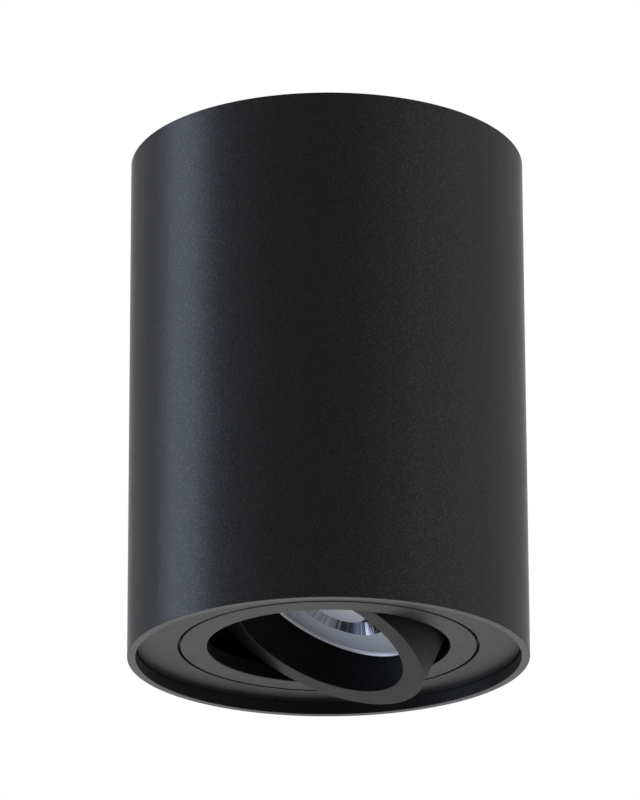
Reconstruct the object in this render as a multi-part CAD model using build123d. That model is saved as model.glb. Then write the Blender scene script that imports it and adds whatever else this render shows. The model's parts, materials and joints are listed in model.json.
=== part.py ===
from build123d import *
import os
from math import asin, cos, degrees, radians, sin, sqrt, tan

# Surface mounted ceiling spotlight: a round housing, a swivel ring in its mouth and a tilting
# cup with a twist-lock reflector lamp. Millimetres. The origin is on the housing's axis, on the
# ceiling plane, and the light hangs towards -Z.

# Housing tube
housing_height = 126.0
housing_wall = 2.0
rim_chamfer = 0.3
groove_depth = 0.5
groove_height = 4.0
groove_above_plate = 9.5

# Face plate
plate_recess = 2.9
plate_thickness = 2.6
plate_band = 9.9
plate_edge_gap = 0.1
lip_thickness = 1.1

# Swivel ring and the retaining ring behind it
ring_gap = 1.8
ring_band = 6.4
ring_slit = 0.6
ring_step = 1.25
ring_chamfer = 0.25
running_gap = 0.05
swivel_play = 0.1
retainer_thickness = 1.2
retainer_overlap = 2.8
retainer_screw_count = 4
retainer_screw_edge = 1.55
retainer_screw_depth = 2.0
stop_tab_reach = 2.0
stop_tab_width = 4.0
stop_post_radius = 1.1
stop_post_height = 2.0

# Tilting cup
pivot_height = 7.3
cup_wall = 1.9
cup_lip = 3.5
cup_length = 24.0
cup_face_drop = 5.96
cup_chamfer = 0.4
lens_recess = 10.4
boss_radius = 3.3
boss_height = 1.4
tilt_limit = 30.0
tilt_gap = 0.2

# Where the swivel and the cup stand
aim_heading = 23.3
aim_tilt = 25.9

# Pivots
ear_thickness = 1.2
ear_width = 9.0
pivot_screw_radius = 1.5
pivot_screw_depth = 4.0
pivot_head_radius = 2.8
pivot_head_height = 1.6
thread_gap = 0.02

# Spring clips of the face plate
clip_count = 3
clip_width = 8.0
clip_sheet = 0.6
clip_foot = 4.6
clip_wall_gap = 1.4
clip_tip_bite = 0.25
clip_tail = 5.0
clip_screw_radius = 1.0
clip_screw_head = 1.9
clip_screw_depth = 1.6

# Lamp, whose diameter drives the cup, the swivel ring, the face plate and the housing
lamp_diameter = 50.0
lamp_fit_gap = 0.3
lamp_rim_height = 8.0
lamp_neck_diameter = 29.0
lamp_cone_length = 27.0
lamp_shell_length = 41.0
lamp_shell_wall = 1.3
lens_rim = 1.4
lens_thickness = 2.8
lens_ridge_inset = 3.1
lens_ridge_width = 0.4
lens_ridge_depth = 0.3
well_pitch_radius = 8.2
well_turn = 41.0
well_count = 3
well_mouth_radius = 4.6
well_floor_radius = 3.6
well_depth = 2.0
collimator_front_radius = 7.0
collimator_back_radius = 3.0
collimator_length = 5.9
board_thickness = 1.6
chip_side = 3.0
chip_height = 0.5
chip_gap = 0.1
driver_width = 18.0
driver_thickness = 1.4
driver_part_rise = 4.0
capacitor_radius = 3.0
capacitor_length = 10.0
capacitor_x = -3.5
transformer_width = 8.0
transformer_depth = 7.0
transformer_height = 8.0
transformer_x = 3.0
regulator_width = 5.0
regulator_depth = 1.6
regulator_height = 4.0
regulator_x = 4.0
base_length = 6.0
base_spigot_length = 3.0
small_gap = 0.1
pin_spacing = 10.0
pin_radius = 1.4
pin_head_radius = 2.5
pin_neck_length = 5.0
pin_head_length = 2.5
pin_root_length = 3.0

# Wire clip that keeps the lamp in the cup
lamp_clip_wire = 1.6
lamp_clip_inset = 0.2
lamp_clip_opening = 60.0
lamp_clip_leg = 6.0

# Lampholder
holder_length = 27.0
holder_width = 16.0
holder_height = 13.0
holder_socket_radius = 2.7
holder_cover = 2.0
contact_radius = 2.4
contact_thickness = 0.6
holder_rivet_spacing = 20.6
holder_rivet_radius = 1.2
holder_rivet_head = 2.2
holder_rivet_head_height = 0.8

# Mounting bracket
bracket_thickness = 1.5
bracket_width = 30.0
bracket_shoulder = 38.0
bracket_bend = 3.0
tab_width = 14.0
tab_drop = 16.0
tab_wall_gap = 0.25
slot_spacing = 60.0
slot_length = 12.0
slot_width = 4.5
cable_hole_radius = 7.0

# Side set screws
side_screw_drop = 9.0
side_screw_radius = 1.97
side_screw_length = 8.0
side_screw_sunk = 0.15
side_screw_gap = 0.1
collar_radius = 3.6
collar_length = 2.0

# Terminal block
block_width = 14.0
block_height = 12.5
block_centre_x = 16.0
pole_pitch = 9.0
pole_count = 3
pole_depth = 5.5
pole_radius = 2.3
pole_bore = 1.5
pole_length = 11.6
clamp_screw_radius = 1.2
clamp_screw_spacing = 6.6
clamp_screw_sunk = 1.4
block_screw_radius = 1.5
block_screw_head = 2.8
block_screw_head_height = 1.8

# Earth point
earth_x = -17.0
lug_radius = 3.6
lug_thickness = 0.8
earth_screw_radius = 1.97
earth_head_radius = 3.3
earth_head_height = 2.0
earth_washer_thickness = 0.7
barrel_radius = 1.6
barrel_length = 5.0

# Wiring
wire_radius = 1.1
wire_pair_gap = 0.1
sleeve_radius = 2.0
sleeve_top_z = -19.0
sleeve_split_z = -21.0
sleeve_entry = 1.5
sleeve_drop = 10.0
sleeve_rise = 13.0
sleeve_swing_x = 16.0
sleeve_swing_y = -8.0
sleeve_swing_z = -37.0

# Cross and slot recesses in screw heads
drive_width = 0.5
drive_depth = 0.7

# Radii that follow, from the lamp outwards
lamp_r = lamp_diameter / 2
lamp_bore_r = lamp_r + lamp_fit_gap
lens_r = lamp_r - lens_rim
lens_ridge_r = lens_r - lens_ridge_inset
cup_bore_r = lamp_bore_r - cup_lip
cup_r = lamp_bore_r + cup_wall
opening_r = cup_r + ring_gap
ring_r = opening_r + ring_band
spigot_r = ring_r - ring_step
lip_r = spigot_r + running_gap
counterbore_r = ring_r + ring_slit
plate_r = counterbore_r + plate_band
bore_r = plate_r + plate_edge_gap
housing_r = bore_r + housing_wall
housing_diameter = 2 * housing_r

# Levels and reaches that follow
rim_z = -housing_height
plate_face_z = rim_z + plate_recess
plate_back_z = plate_face_z + plate_thickness
lip_front_z = plate_back_z - lip_thickness
groove_z = plate_back_z + groove_above_plate
flange_back_z = lip_front_z - swivel_play
retainer_top_z = plate_back_z + retainer_thickness

pivot_z = plate_face_z + pivot_height
cup_face_u = -cup_face_drop
cup_rear_u = cup_face_u + cup_length
lens_u = cup_face_u + lens_recess
boss_face = cup_r + boss_height
retainer_depth = pivot_z - retainer_top_z
cup_reach = (cup_r - retainer_depth * sin(radians(tilt_limit))) / cos(radians(tilt_limit))
retainer_inner_r = max(cup_reach + tilt_gap, boss_face + 1.0)
retainer_outer_r = lip_r + retainer_overlap
retainer_screw_r = spigot_r - retainer_screw_edge
washer_thickness = retainer_inner_r - boss_face - running_gap
ear_outer = retainer_inner_r + ear_thickness
stop_reach_r = retainer_outer_r + stop_tab_reach
stop_post_r = retainer_outer_r + small_gap * 3 + stop_post_radius

lamp_rim_u = lens_u + lamp_rim_height
clip_wire_r = lamp_clip_wire / 2
lamp_clip_u = lamp_rim_u + clip_wire_r + running_gap
lamp_clip_r = lamp_r - lamp_clip_inset
board_front_u = lens_u + lens_thickness + collimator_length + chip_gap + chip_height
board_back_u = board_front_u + board_thickness
neck_r = lamp_neck_diameter / 2
shell_end_u = lens_u + lamp_shell_length
base_end_u = shell_end_u + base_length
holder_front_u = base_end_u + small_gap
holder_back_u = holder_front_u + holder_height
cover_back_u = holder_back_u + holder_cover

bracket_under_z = -bracket_thickness
tab_outer_x = sqrt((bore_r - tab_wall_gap) ** 2 - (tab_width / 2) ** 2)
block_length = pole_pitch * pole_count + 1.0
block_under_z = bracket_under_z - block_height
pole_z = bracket_under_z - pole_depth
block_inner_x = block_centre_x - block_width / 2
earth_y = pole_pitch
lug_under_z = bracket_under_z - lug_thickness
barrel_z = bracket_under_z - barrel_radius

swivel_place = Rot(0, 0, aim_heading)
cup_place = Pos(0, 0, pivot_z) * Rot(0, 0, aim_heading) * Rot(0, aim_tilt, 0)


def turned(points):
    """A full turn about Z of a closed outline of (radius, height) points."""
    return revolve(make_face(Plane.XZ * Polyline(*points, close=True)), Axis.Z)


def ring_between(outer_r, inner_r, low, high):
    """A flat ring between two heights."""
    return Pos(0, 0, low) * extrude(Circle(outer_r) - Circle(inner_r), high - low)


def rod(radius, low, high):
    """A plain cylinder along Z between two heights."""
    return Pos(0, 0, low) * extrude(Circle(radius), high - low)


def block_between(x_range, y_range, z_range):
    """A box from its lowest and highest coordinates."""
    size = [high - low for low, high in (x_range, y_range, z_range)]
    middle = [(high + low) / 2 for low, high in (x_range, y_range, z_range)]
    return Pos(*middle) * Box(*size)


def pan_screw(shank_r, shank_length, head_r, head_height):
    """A screw with its head's underside at Z 0, its head above and a cross recess."""
    head = rod(head_r, 0, head_height)
    head = chamfer(head.edges().group_by(Axis.Z)[-1], head_height * 0.3)
    arm = head_r * 1.2
    recess = Box(arm, drive_width, drive_depth) + Box(drive_width, arm, drive_depth)
    recess = Pos(0, 0, head_height - drive_depth / 2) * recess
    return head + rod(shank_r, -shank_length, 0) - recess


def bend_radii(points):
    """The widest arc that each corner of a route has room for."""
    radii = []
    for before, corner, after in zip(points, points[1:], points[2:]):
        run_in = Vector(*corner) - Vector(*before)
        run_out = Vector(*after) - Vector(*corner)
        half_turn = radians(run_in.get_angle(run_out)) / 2
        radii.append(0.45 * min(run_in.length, run_out.length) / tan(half_turn))
    return radii


def tube_along(name, points, radius):
    """A round lead that follows straight runs joined by tangent arcs."""
    radii = bend_radii(points)
    path = FilletPolyline(*points, radius=radii)
    section = Plane(origin=path @ 0, z_dir=path % 0) * Circle(radius)
    lead = sweep(section, path=path)
    print(name, "radii", [round(r, 1) for r in radii], "length", round(path.length, 1))
    return lead


# Ceiling end -----------------------------------------------------------------------------------


def make_housing_tube():
    """The tube, with a snap groove for the face plate's clips and holes for the set screws."""
    c = rim_chamfer
    tube = turned(
        [
            (bore_r, rim_z + c),
            (bore_r + c, rim_z),
            (housing_r - c, rim_z),
            (housing_r, rim_z + c),
            (housing_r, -c),
            (housing_r - c, 0),
            (bore_r, 0),
        ]
    )
    low, high = groove_z - groove_height / 2, groove_z + groove_height / 2
    tube -= ring_between(bore_r + groove_depth, bore_r - 1, low, high)
    hole = Rot(0, 90, 0) * rod(side_screw_radius + side_screw_gap, -housing_diameter, housing_diameter)
    return tube - Pos(0, 0, -side_screw_drop) * hole


def make_mounting_bracket():
    """The steel strap that is screwed to the ceiling, with two tabs that carry the tube."""
    outer = RectangleRounded(2 * tab_outer_x, 2 * tab_drop, bracket_bend)
    inner_bend = bracket_bend - bracket_thickness
    inner_size = (2 * (tab_outer_x - bracket_thickness), 2 * (tab_drop - bracket_thickness))
    inner = RectangleRounded(*inner_size, inner_bend)
    lower_half = Pos(0, -tab_drop) * Rectangle(4 * tab_outer_x, 2 * tab_drop)
    section = Plane.XZ * (Pos(0, -tab_drop) * (outer - inner) - Pos(0, -tab_drop) * lower_half)
    strap = extrude(section, bracket_width / 2, both=True)
    plan = Rectangle(2 * bracket_shoulder, bracket_width) + Rectangle(2 * tab_outer_x + 1, tab_width)
    strap &= Pos(0, 0, -2 * tab_drop) * extrude(plan, 2 * tab_drop + 1)
    for side in (-1, 1):
        slot = Pos(side * slot_spacing / 2, 0) * SlotOverall(slot_length, slot_width)
        strap -= Pos(0, 0, -bracket_thickness - 1) * extrude(slot, bracket_thickness + 2)
        inner_face = tab_outer_x - bracket_thickness
        collar = rod(collar_radius, inner_face - collar_length, inner_face)
        strap += Pos(0, 0, -side_screw_drop) * Rot(0, side * 90, 0) * collar
    bore = rod(side_screw_radius + thread_gap, -housing_diameter, housing_diameter)
    strap -= Pos(0, 0, -side_screw_drop) * Rot(0, 90, 0) * bore
    strap -= rod(cable_hole_radius, -bracket_thickness - 1, 1)
    strap -= Pos(earth_x, earth_y, 0) * rod(earth_screw_radius + thread_gap, -bracket_thickness - 1, 1)
    fixing = Pos(block_centre_x, pole_pitch / 2, 0)
    return strap - fixing * rod(block_screw_radius + thread_gap, -bracket_thickness - 1, 1)


def make_side_screws():
    """Two set screws with hexagon sockets, flush with the tube."""
    outer_end = housing_r - side_screw_sunk
    screw = rod(side_screw_radius, outer_end - side_screw_length, outer_end)
    socket = extrude(RegularPolygon(1.15, 6), 2.5)
    screw -= Pos(0, 0, outer_end - 2.5) * socket
    return [Pos(0, 0, -side_screw_drop) * Rot(0, side * 90, 0) * screw for side in (-1, 1)]


def pole_places():
    """The middle of each pole of the terminal block, along Y."""
    first = -(pole_count - 1) / 2 * pole_pitch
    return [first + index * pole_pitch for index in range(pole_count)]


def clamp_places():
    """The axis of each clamp screw, two for each pole."""
    half = clamp_screw_spacing / 2
    return [(block_centre_x + side * half, y) for y in pole_places() for side in (-1, 1)]


def make_terminal_block():
    """The insulating body of the terminal block, one hump for each pole."""
    x_range = (block_inner_x, block_inner_x + block_width)
    shoulder_z = block_under_z + 3.0
    body = block_between(x_range, (-block_length / 2, block_length / 2), (shoulder_z, bracket_under_z))
    for y in pole_places():
        hump_range = (y - pole_pitch * 0.38, y + pole_pitch * 0.38)
        body += block_between(x_range, hump_range, (block_under_z, shoulder_z))
    for y in pole_places():
        bore = rod(pole_radius + thread_gap, -block_width, block_width)
        body -= Pos(block_centre_x, y, pole_z) * Rot(0, 90, 0) * bore
    for x, y in clamp_places():
        body -= Pos(x, y, 0) * rod(clamp_screw_radius + 0.3, block_under_z - 1, pole_z)
    fixing = rod(block_screw_radius + small_gap, block_under_z - 1, 0)
    fixing += rod(block_screw_head + 0.2, block_under_z - 1, block_under_z + block_screw_head_height + 1.0)
    return body - Pos(block_centre_x, pole_pitch / 2, 0) * fixing


def make_terminal_tubes():
    """The brass tube of each pole, with its two threaded screw holes."""
    tubes = []
    for y in pole_places():
        tube = rod(pole_radius, -pole_length / 2, pole_length / 2)
        tube -= rod(pole_bore, -pole_length, pole_length)
        tube = Pos(block_centre_x, y, pole_z) * Rot(0, 90, 0) * tube
        for x, screw_y in clamp_places():
            if screw_y == y:
                tube -= Pos(x, y, 0) * rod(clamp_screw_radius + thread_gap, block_under_z, pole_z)
        tubes.append(tube)
    return tubes


def make_terminal_screws():
    """The clamp screws, which press on the wire in the tube."""
    tip = pole_z - wire_radius - running_gap
    head = block_under_z + clamp_screw_sunk
    slot = block_between((-0.3, 0.3), (-2, 2), (head - 1, head + drive_depth))
    screw = rod(clamp_screw_radius, head, tip) - slot
    return [Pos(x, y, 0) * screw for x, y in clamp_places()]


def make_block_screw():
    """The screw that holds the terminal block up against the bracket."""
    seat_z = block_under_z + block_screw_head_height + 1.0
    length = -small_gap - seat_z
    screw = Rot(180, 0, 0) * pan_screw(block_screw_radius, length, block_screw_head, block_screw_head_height)
    return [Pos(block_centre_x, pole_pitch / 2, seat_z) * screw]


def make_earth_lug():
    """The crimped ring terminal of the earth wire."""
    eye = rod(lug_radius, lug_under_z, bracket_under_z) - rod(earth_screw_radius + small_gap, lug_under_z, 0)
    tongue_end = lug_radius + 1.0
    tongue_range = (earth_screw_radius + 1.0, tongue_end + 0.5)
    tongue = block_between(tongue_range, (-barrel_radius, barrel_radius), (lug_under_z, bracket_under_z))
    barrel = rod(barrel_radius, tongue_end, tongue_end + barrel_length)
    barrel -= rod(wire_radius + 0.02, tongue_end + 1.0, tongue_end + barrel_length + 1)
    barrel = Pos(0, 0, barrel_z) * Rot(0, 90, 0) * barrel
    return [Pos(earth_x, earth_y, 0) * (eye + tongue + barrel)]


def make_earth_washer():
    """The toothed washer under the earth screw's head."""
    low = lug_under_z - earth_washer_thickness
    washer = ring_between(earth_head_radius, earth_screw_radius + small_gap, low, lug_under_z)
    for index in range(12):
        notch = Pos(earth_head_radius, 0, low) * Box(1.0, 0.6, 4 * earth_washer_thickness)
        washer -= Rot(0, 0, index * 30) * notch
    return [Pos(earth_x, earth_y, 0) * washer]


def make_earth_screw():
    """The earth screw, up through the lug into the bracket."""
    seat_z = lug_under_z - earth_washer_thickness
    screw = pan_screw(earth_screw_radius, -small_gap - seat_z, earth_head_radius, earth_head_height)
    return [Pos(earth_x, earth_y, seat_z) * Rot(180, 0, 0) * screw]


def make_earth_wire():
    """The earth wire, from the outer pole to the lug."""
    lug_mouth_x = earth_x + lug_radius + 1.0 + barrel_length
    route = [
        (block_inner_x + 2.5, earth_y, pole_z),
        (block_inner_x - 5.5, earth_y, pole_z),
        (lug_mouth_x + 5.5, earth_y, barrel_z),
        (lug_mouth_x - 2.0, earth_y, barrel_z),
    ]
    return [tube_along("earth_wire", route, wire_radius)]


def make_lamp_leads():
    """The two leads that drop from the block into the sleeve on the housing's axis."""
    offset = wire_radius + wire_pair_gap / 2
    start_x = block_inner_x + 2.5
    poles = pole_places()
    neutral = [
        (start_x, poles[0], pole_z),
        (block_inner_x - 5.5, poles[0], pole_z),
        (0, -offset, sleeve_top_z + 6.5),
        (0, -offset, sleeve_top_z),
    ]
    live = [
        (start_x, poles[1], pole_z),
        (block_inner_x - 4.0, poles[1], pole_z),
        (0, offset, sleeve_top_z + 6.0),
        (0, offset, sleeve_top_z),
    ]
    return [tube_along("neutral", neutral, wire_radius), tube_along("live", live, wire_radius)]


def make_lead_sleeve_upper():
    """The short top of the sleeve, which stays with the bracket's leads."""
    return [rod(sleeve_radius + 0.4, sleeve_split_z, sleeve_top_z)]


def make_lead_sleeve_lower():
    """The slack of the sleeve, from the housing's axis into the back of the lampholder."""
    entry = cup_place * Pos(0, 0, cover_back_u - sleeve_entry)
    above = cup_place * Pos(0, 0, cover_back_u + sleeve_rise)
    along = swivel_place * Pos(sleeve_swing_x, sleeve_swing_y, sleeve_swing_z)
    route = [
        (0, 0, sleeve_split_z),
        (0, 0, sleeve_split_z - sleeve_drop),
        tuple(along.position),
        tuple(above.position),
        tuple(entry.position),
    ]
    return [tube_along("lead_sleeve_lower", route, sleeve_radius)]


# Face plate ------------------------------------------------------------------------------------


def clip_places():
    """The turn of each spring clip about the housing's axis."""
    return [Rot(0, 0, 90 + index * 360 / clip_count) for index in range(clip_count)]


def clip_screw_r():
    """How far from the axis a clip's screw stands."""
    return bore_r - clip_wall_gap - clip_sheet - clip_foot / 2 + 0.2


def make_face_plate():
    """The recessed annular plate, with a lip that carries the swivel and a post that stops it."""
    plate = turned(
        [
            (counterbore_r, plate_face_z),
            (plate_r - rim_chamfer, plate_face_z),
            (plate_r, plate_face_z + rim_chamfer),
            (plate_r, plate_back_z),
            (lip_r, plate_back_z),
            (lip_r, lip_front_z),
            (counterbore_r, lip_front_z),
        ]
    )
    post = rod(stop_post_radius, plate_back_z - 0.2, plate_back_z + stop_post_height)
    plate += swivel_place * Pos(stop_post_r, 0, 0) * post
    hole = rod(clip_screw_radius + thread_gap, plate_back_z - clip_screw_depth - 0.2, plate_back_z + 1)
    for turn in clip_places():
        plate -= turn * Pos(clip_screw_r(), 0, 0) * hole
    return plate


def make_plate_clips():
    """Leaf springs that snap into the tube's groove and keep the face plate up."""
    leg_out = bore_r - clip_wall_gap
    leg_in = leg_out - clip_sheet
    foot_in = leg_in - clip_foot
    foot_top = plate_back_z + clip_sheet
    tip_r = bore_r + clip_tip_bite
    bend_z = groove_z - (tip_r - leg_out) * 1.6
    tail_z = groove_z + clip_tail
    tail_r = leg_out - 0.4
    skin = clip_sheet
    outline = [
        (foot_in, plate_back_z),
        (leg_out, plate_back_z),
        (leg_out, bend_z),
        (tip_r, groove_z - 0.4),
        (tip_r, groove_z + 0.4),
        (tail_r, tail_z),
        (tail_r - skin, tail_z - 0.2),
        (tip_r - skin * 1.15, groove_z + 0.2),
        (tip_r - skin * 1.15, groove_z - 0.2),
        (leg_in, bend_z + 0.15),
        (leg_in, foot_top),
        (foot_in, foot_top),
    ]
    leaf = extrude(make_face(Plane.XZ * Polyline(*outline, close=True)), clip_width / 2, both=True)
    leaf -= Pos(clip_screw_r(), 0, 0) * rod(clip_screw_radius + small_gap, plate_back_z - 1, foot_top + 1)
    return [turn * leaf for turn in clip_places()]


def make_clip_screws():
    """The screws of the spring clips, in blind holes."""
    seat_z = plate_back_z + clip_sheet
    screw = pan_screw(clip_screw_radius, clip_sheet + clip_screw_depth, clip_screw_head, 1.3)
    return [turn * Pos(clip_screw_r(), 0, seat_z) * screw for turn in clip_places()]


# Swivel ----------------------------------------------------------------------------------------


def retainer_screw_places():
    """The retaining ring's screws, clear of its ears and stop tab."""
    step = 360 / retainer_screw_count
    turns = [swivel_place * Rot(0, 0, step / 2 + index * step) for index in range(retainer_screw_count)]
    return [turn * Pos(retainer_screw_r, 0, 0) for turn in turns]


def make_swivel_ring():
    """The ring that fills the face plate, with a spigot that turns in the plate's lip."""
    c = ring_chamfer
    ring = turned(
        [
            (opening_r + c, plate_face_z),
            (ring_r - c, plate_face_z),
            (ring_r, plate_face_z + c),
            (ring_r, flange_back_z),
            (spigot_r, flange_back_z),
            (spigot_r, plate_back_z),
            (opening_r, plate_back_z),
            (opening_r, plate_face_z + c),
        ]
    )
    hole = rod(clip_screw_radius + thread_gap, plate_back_z - retainer_screw_depth, plate_back_z + 1)
    for place in retainer_screw_places():
        ring -= place * hole
    return ring


def make_swivel_retainer():
    """The sprung steel ring behind the plate, with two ears for the pivots and a stop tab."""
    plate = ring_between(retainer_outer_r, retainer_inner_r, plate_back_z, retainer_top_z)
    tab_range = (-stop_reach_r, -retainer_outer_r + 1.0)
    half_tab = stop_tab_width / 2
    plate += block_between(tab_range, (-half_tab, half_tab), (plate_back_z, retainer_top_z))
    half = ear_width / 2
    ear_height = pivot_z - plate_back_z
    profile = Pos(0, ear_height / 2) * Rectangle(ear_width, ear_height) + Pos(0, ear_height) * Circle(half)
    for side in (-1, 1):
        ear = Plane.XZ * profile
        ear = extrude(ear, ear_thickness)
        start = retainer_inner_r + ear_thickness if side > 0 else -retainer_inner_r
        plate += Pos(0, start, plate_back_z) * ear
    bore = rod(pivot_screw_radius + running_gap, -housing_diameter, housing_diameter)
    plate -= Pos(0, 0, pivot_z) * Rot(90, 0, 0) * bore
    plate = swivel_place * plate
    for place in retainer_screw_places():
        plate -= place * rod(clip_screw_radius + small_gap, plate_back_z - 1, retainer_top_z + 1)
    return plate


def make_retainer_screws():
    """The screws that clamp the retaining ring to the swivel ring."""
    depth = retainer_thickness + retainer_screw_depth - 0.2
    screw = pan_screw(clip_screw_radius, depth, clip_screw_head, 1.3)
    return [place * Pos(0, 0, retainer_top_z) * screw for place in retainer_screw_places()]


# Tilting cup, built with the pivot at its origin and the lamp's axis along +Z ------------------


def make_tilt_cup():
    """The cup: thick bored front, lamp seat, clip groove and two pivot bosses."""
    c = cup_chamfer
    groove_r = lamp_clip_r + clip_wire_r + 0.15
    groove_low = lamp_clip_u - clip_wire_r - 0.15
    groove_high = lamp_clip_u + clip_wire_r + 0.15
    cup = turned(
        [
            (cup_bore_r + c, cup_face_u),
            (cup_r - c, cup_face_u),
            (cup_r, cup_face_u + c),
            (cup_r, cup_rear_u - c),
            (cup_r - c, cup_rear_u),
            (lamp_bore_r, cup_rear_u),
            (lamp_bore_r, groove_high),
            (groove_r, groove_high),
            (groove_r, groove_low),
            (lamp_bore_r, groove_low),
            (lamp_bore_r, lens_u),
            (cup_bore_r, lens_u),
            (cup_bore_r, cup_face_u + c),
        ]
    )
    for side in (-1, 1):
        cup += Rot(side * 90, 0, 0) * rod(boss_radius, cup_r - 1.0, boss_face)
    for side in (-1, 1):
        thread = rod(pivot_screw_radius + thread_gap, boss_face - pivot_screw_depth - 0.3, boss_face + 1)
        cup -= Rot(side * 90, 0, 0) * thread
    return cup


def make_pivot_screws():
    """The screws that the cup tilts on, through the ears of the retaining ring."""
    seat = ear_outer + running_gap
    length = seat - boss_face + pivot_screw_depth
    screw = pan_screw(pivot_screw_radius, length, pivot_head_radius, pivot_head_height)
    return [Rot(side * 90, 0, 0) * Pos(0, 0, seat) * screw for side in (-1, 1)]


def make_friction_washers():
    """The washers between cup and ears, which hold the tilt where it is put."""
    washer = ring_between(boss_radius, pivot_screw_radius + 0.1, boss_face, boss_face + washer_thickness)
    return [Rot(side * 90, 0, 0) * washer for side in (-1, 1)]


def make_lamp_clip():
    """The open wire ring that keeps the lamp in the cup, with two legs to squeeze."""
    half_open = lamp_clip_opening / 2
    section = Plane.XZ * Pos(lamp_clip_r, 0) * Circle(clip_wire_r)
    wire = Rot(0, 0, half_open) * revolve(section, Axis.Z, 360 - lamp_clip_opening)
    leg_r = lamp_bore_r - clip_wire_r - 0.1
    for angle in (half_open, -half_open):
        leg = rod(clip_wire_r, 0, lamp_clip_leg) + Sphere(clip_wire_r)
        wire += Rot(0, 0, angle) * Pos(leg_r, 0, 0) * leg
        wire += Rot(0, 0, angle) * Pos(lamp_clip_r, 0, 0) * Sphere(clip_wire_r)
    return [Pos(0, 0, lamp_clip_u) * wire]


# Lamp ------------------------------------------------------------------------------------------


def make_lamp_shell():
    """The lamp's body: a rim that seats in the cup, a cone and a neck, hollow inside."""
    shoulder_r = lamp_clip_r - clip_wire_r - 0.6
    wall = lamp_shell_wall
    cone_low_u = lamp_rim_u + 3.0
    cone_high_u = cone_low_u + lamp_cone_length
    lens_seat_u = lens_u + lens_thickness
    shell = turned(
        [
            (lens_r + running_gap, lens_u),
            (lamp_r - 0.4, lens_u),
            (lamp_r, lens_u + 0.4),
            (lamp_r, lamp_rim_u),
            (shoulder_r, lamp_rim_u),
            (shoulder_r, cone_low_u),
            (neck_r, cone_high_u),
            (neck_r, shell_end_u),
            (neck_r - wall, shell_end_u),
            (neck_r - wall, cone_high_u),
            (shoulder_r - wall - 1.6, cone_low_u + 1.0),
            (shoulder_r - wall - 1.6, board_back_u),
            (shoulder_r - wall, board_back_u),
            (shoulder_r - wall, lens_seat_u),
            (lens_r + running_gap, lens_seat_u),
        ]
    )
    return shell


def well_places():
    """Where each light well of the lens stands."""
    turns = [Rot(0, 0, well_turn + index * 360 / well_count) for index in range(well_count)]
    return [turn * Pos(well_pitch_radius, 0, 0) for turn in turns]


def make_lamp_lens():
    """The lens plate, with a light well and a collimator for each chip."""
    back_u = lens_u + lens_thickness
    plate = rod(lens_r, lens_u, back_u)
    ridge = (lens_ridge_r + lens_ridge_width / 2, lens_ridge_r - lens_ridge_width / 2)
    plate -= ring_between(*ridge, lens_u - 1, lens_u + lens_ridge_depth)
    for place in well_places():
        collimator = Cone(collimator_front_radius, collimator_back_radius, collimator_length)
        plate += place * Pos(0, 0, back_u + collimator_length / 2) * collimator
    for place in well_places():
        well = Cone(well_mouth_radius, well_floor_radius, well_depth)
        plate -= place * Pos(0, 0, lens_u + well_depth / 2) * well
    return plate


def make_led_board():
    """The round board that carries the chips."""
    shoulder_r = lamp_clip_r - clip_wire_r - 0.6
    board = rod(shoulder_r - lamp_shell_wall - running_gap, board_front_u, board_back_u)
    return board


def make_led_chips():
    """One square chip under each collimator."""
    side_range = (-chip_side / 2, chip_side / 2)
    chip = block_between(side_range, side_range, (board_front_u - chip_height, board_front_u))
    return [place * chip for place in well_places()]


def make_driver_board():
    """The upright board of the lamp's driver, from the chip board to the base."""
    x_range = (-driver_width / 2, driver_width / 2)
    y_range = (-driver_thickness / 2, driver_thickness / 2)
    return block_between(x_range, y_range, (board_back_u, shell_end_u - base_spigot_length))


def make_driver_parts():
    """A capacitor, a transformer and a chip on the driver board."""
    face = driver_thickness / 2
    start_u = board_back_u + driver_part_rise
    can = rod(capacitor_radius, start_u, start_u + capacitor_length)
    capacitor = Pos(capacitor_x, face + capacitor_radius, 0) * can
    core = Box(transformer_width, transformer_depth, transformer_height)
    core_u = start_u + transformer_height / 2
    transformer = Pos(transformer_x, -face - transformer_depth / 2, core_u) * core
    chip = Box(regulator_width, regulator_depth, regulator_height)
    chip_u = start_u + transformer_height + regulator_height / 2
    regulator = Pos(regulator_x, face + regulator_depth / 2, chip_u) * chip
    return [capacitor, transformer, regulator]


def make_lamp_base():
    """The insulating base in the neck, which holds the pins."""
    base = rod(neck_r - lamp_shell_wall - running_gap, shell_end_u - base_spigot_length, shell_end_u)
    cap = rod(neck_r - 1.0, shell_end_u, base_end_u)
    base += chamfer(cap.edges().group_by(Axis.Z)[-1], 0.8)
    for side in (-1, 1):
        hole = rod(pin_radius + thread_gap, base_end_u - pin_root_length, base_end_u + 1)
        base -= Pos(0, side * pin_spacing / 2, 0) * hole
    return base


def make_lamp_pins():
    """The two headed contact pins."""
    neck_end = base_end_u + pin_neck_length
    pin = rod(pin_radius, base_end_u - pin_root_length, neck_end)
    head = rod(pin_head_radius, neck_end, neck_end + pin_head_length)
    pin += chamfer(head.edges().group_by(Axis.Z)[-1], 0.5)
    return [Pos(0, side * pin_spacing / 2, 0) * pin for side in (-1, 1)]


def rivet_places():
    """The two rivets of the lampholder."""
    return [Pos(0, side * holder_rivet_spacing / 2, 0) for side in (-1, 1)]


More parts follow.
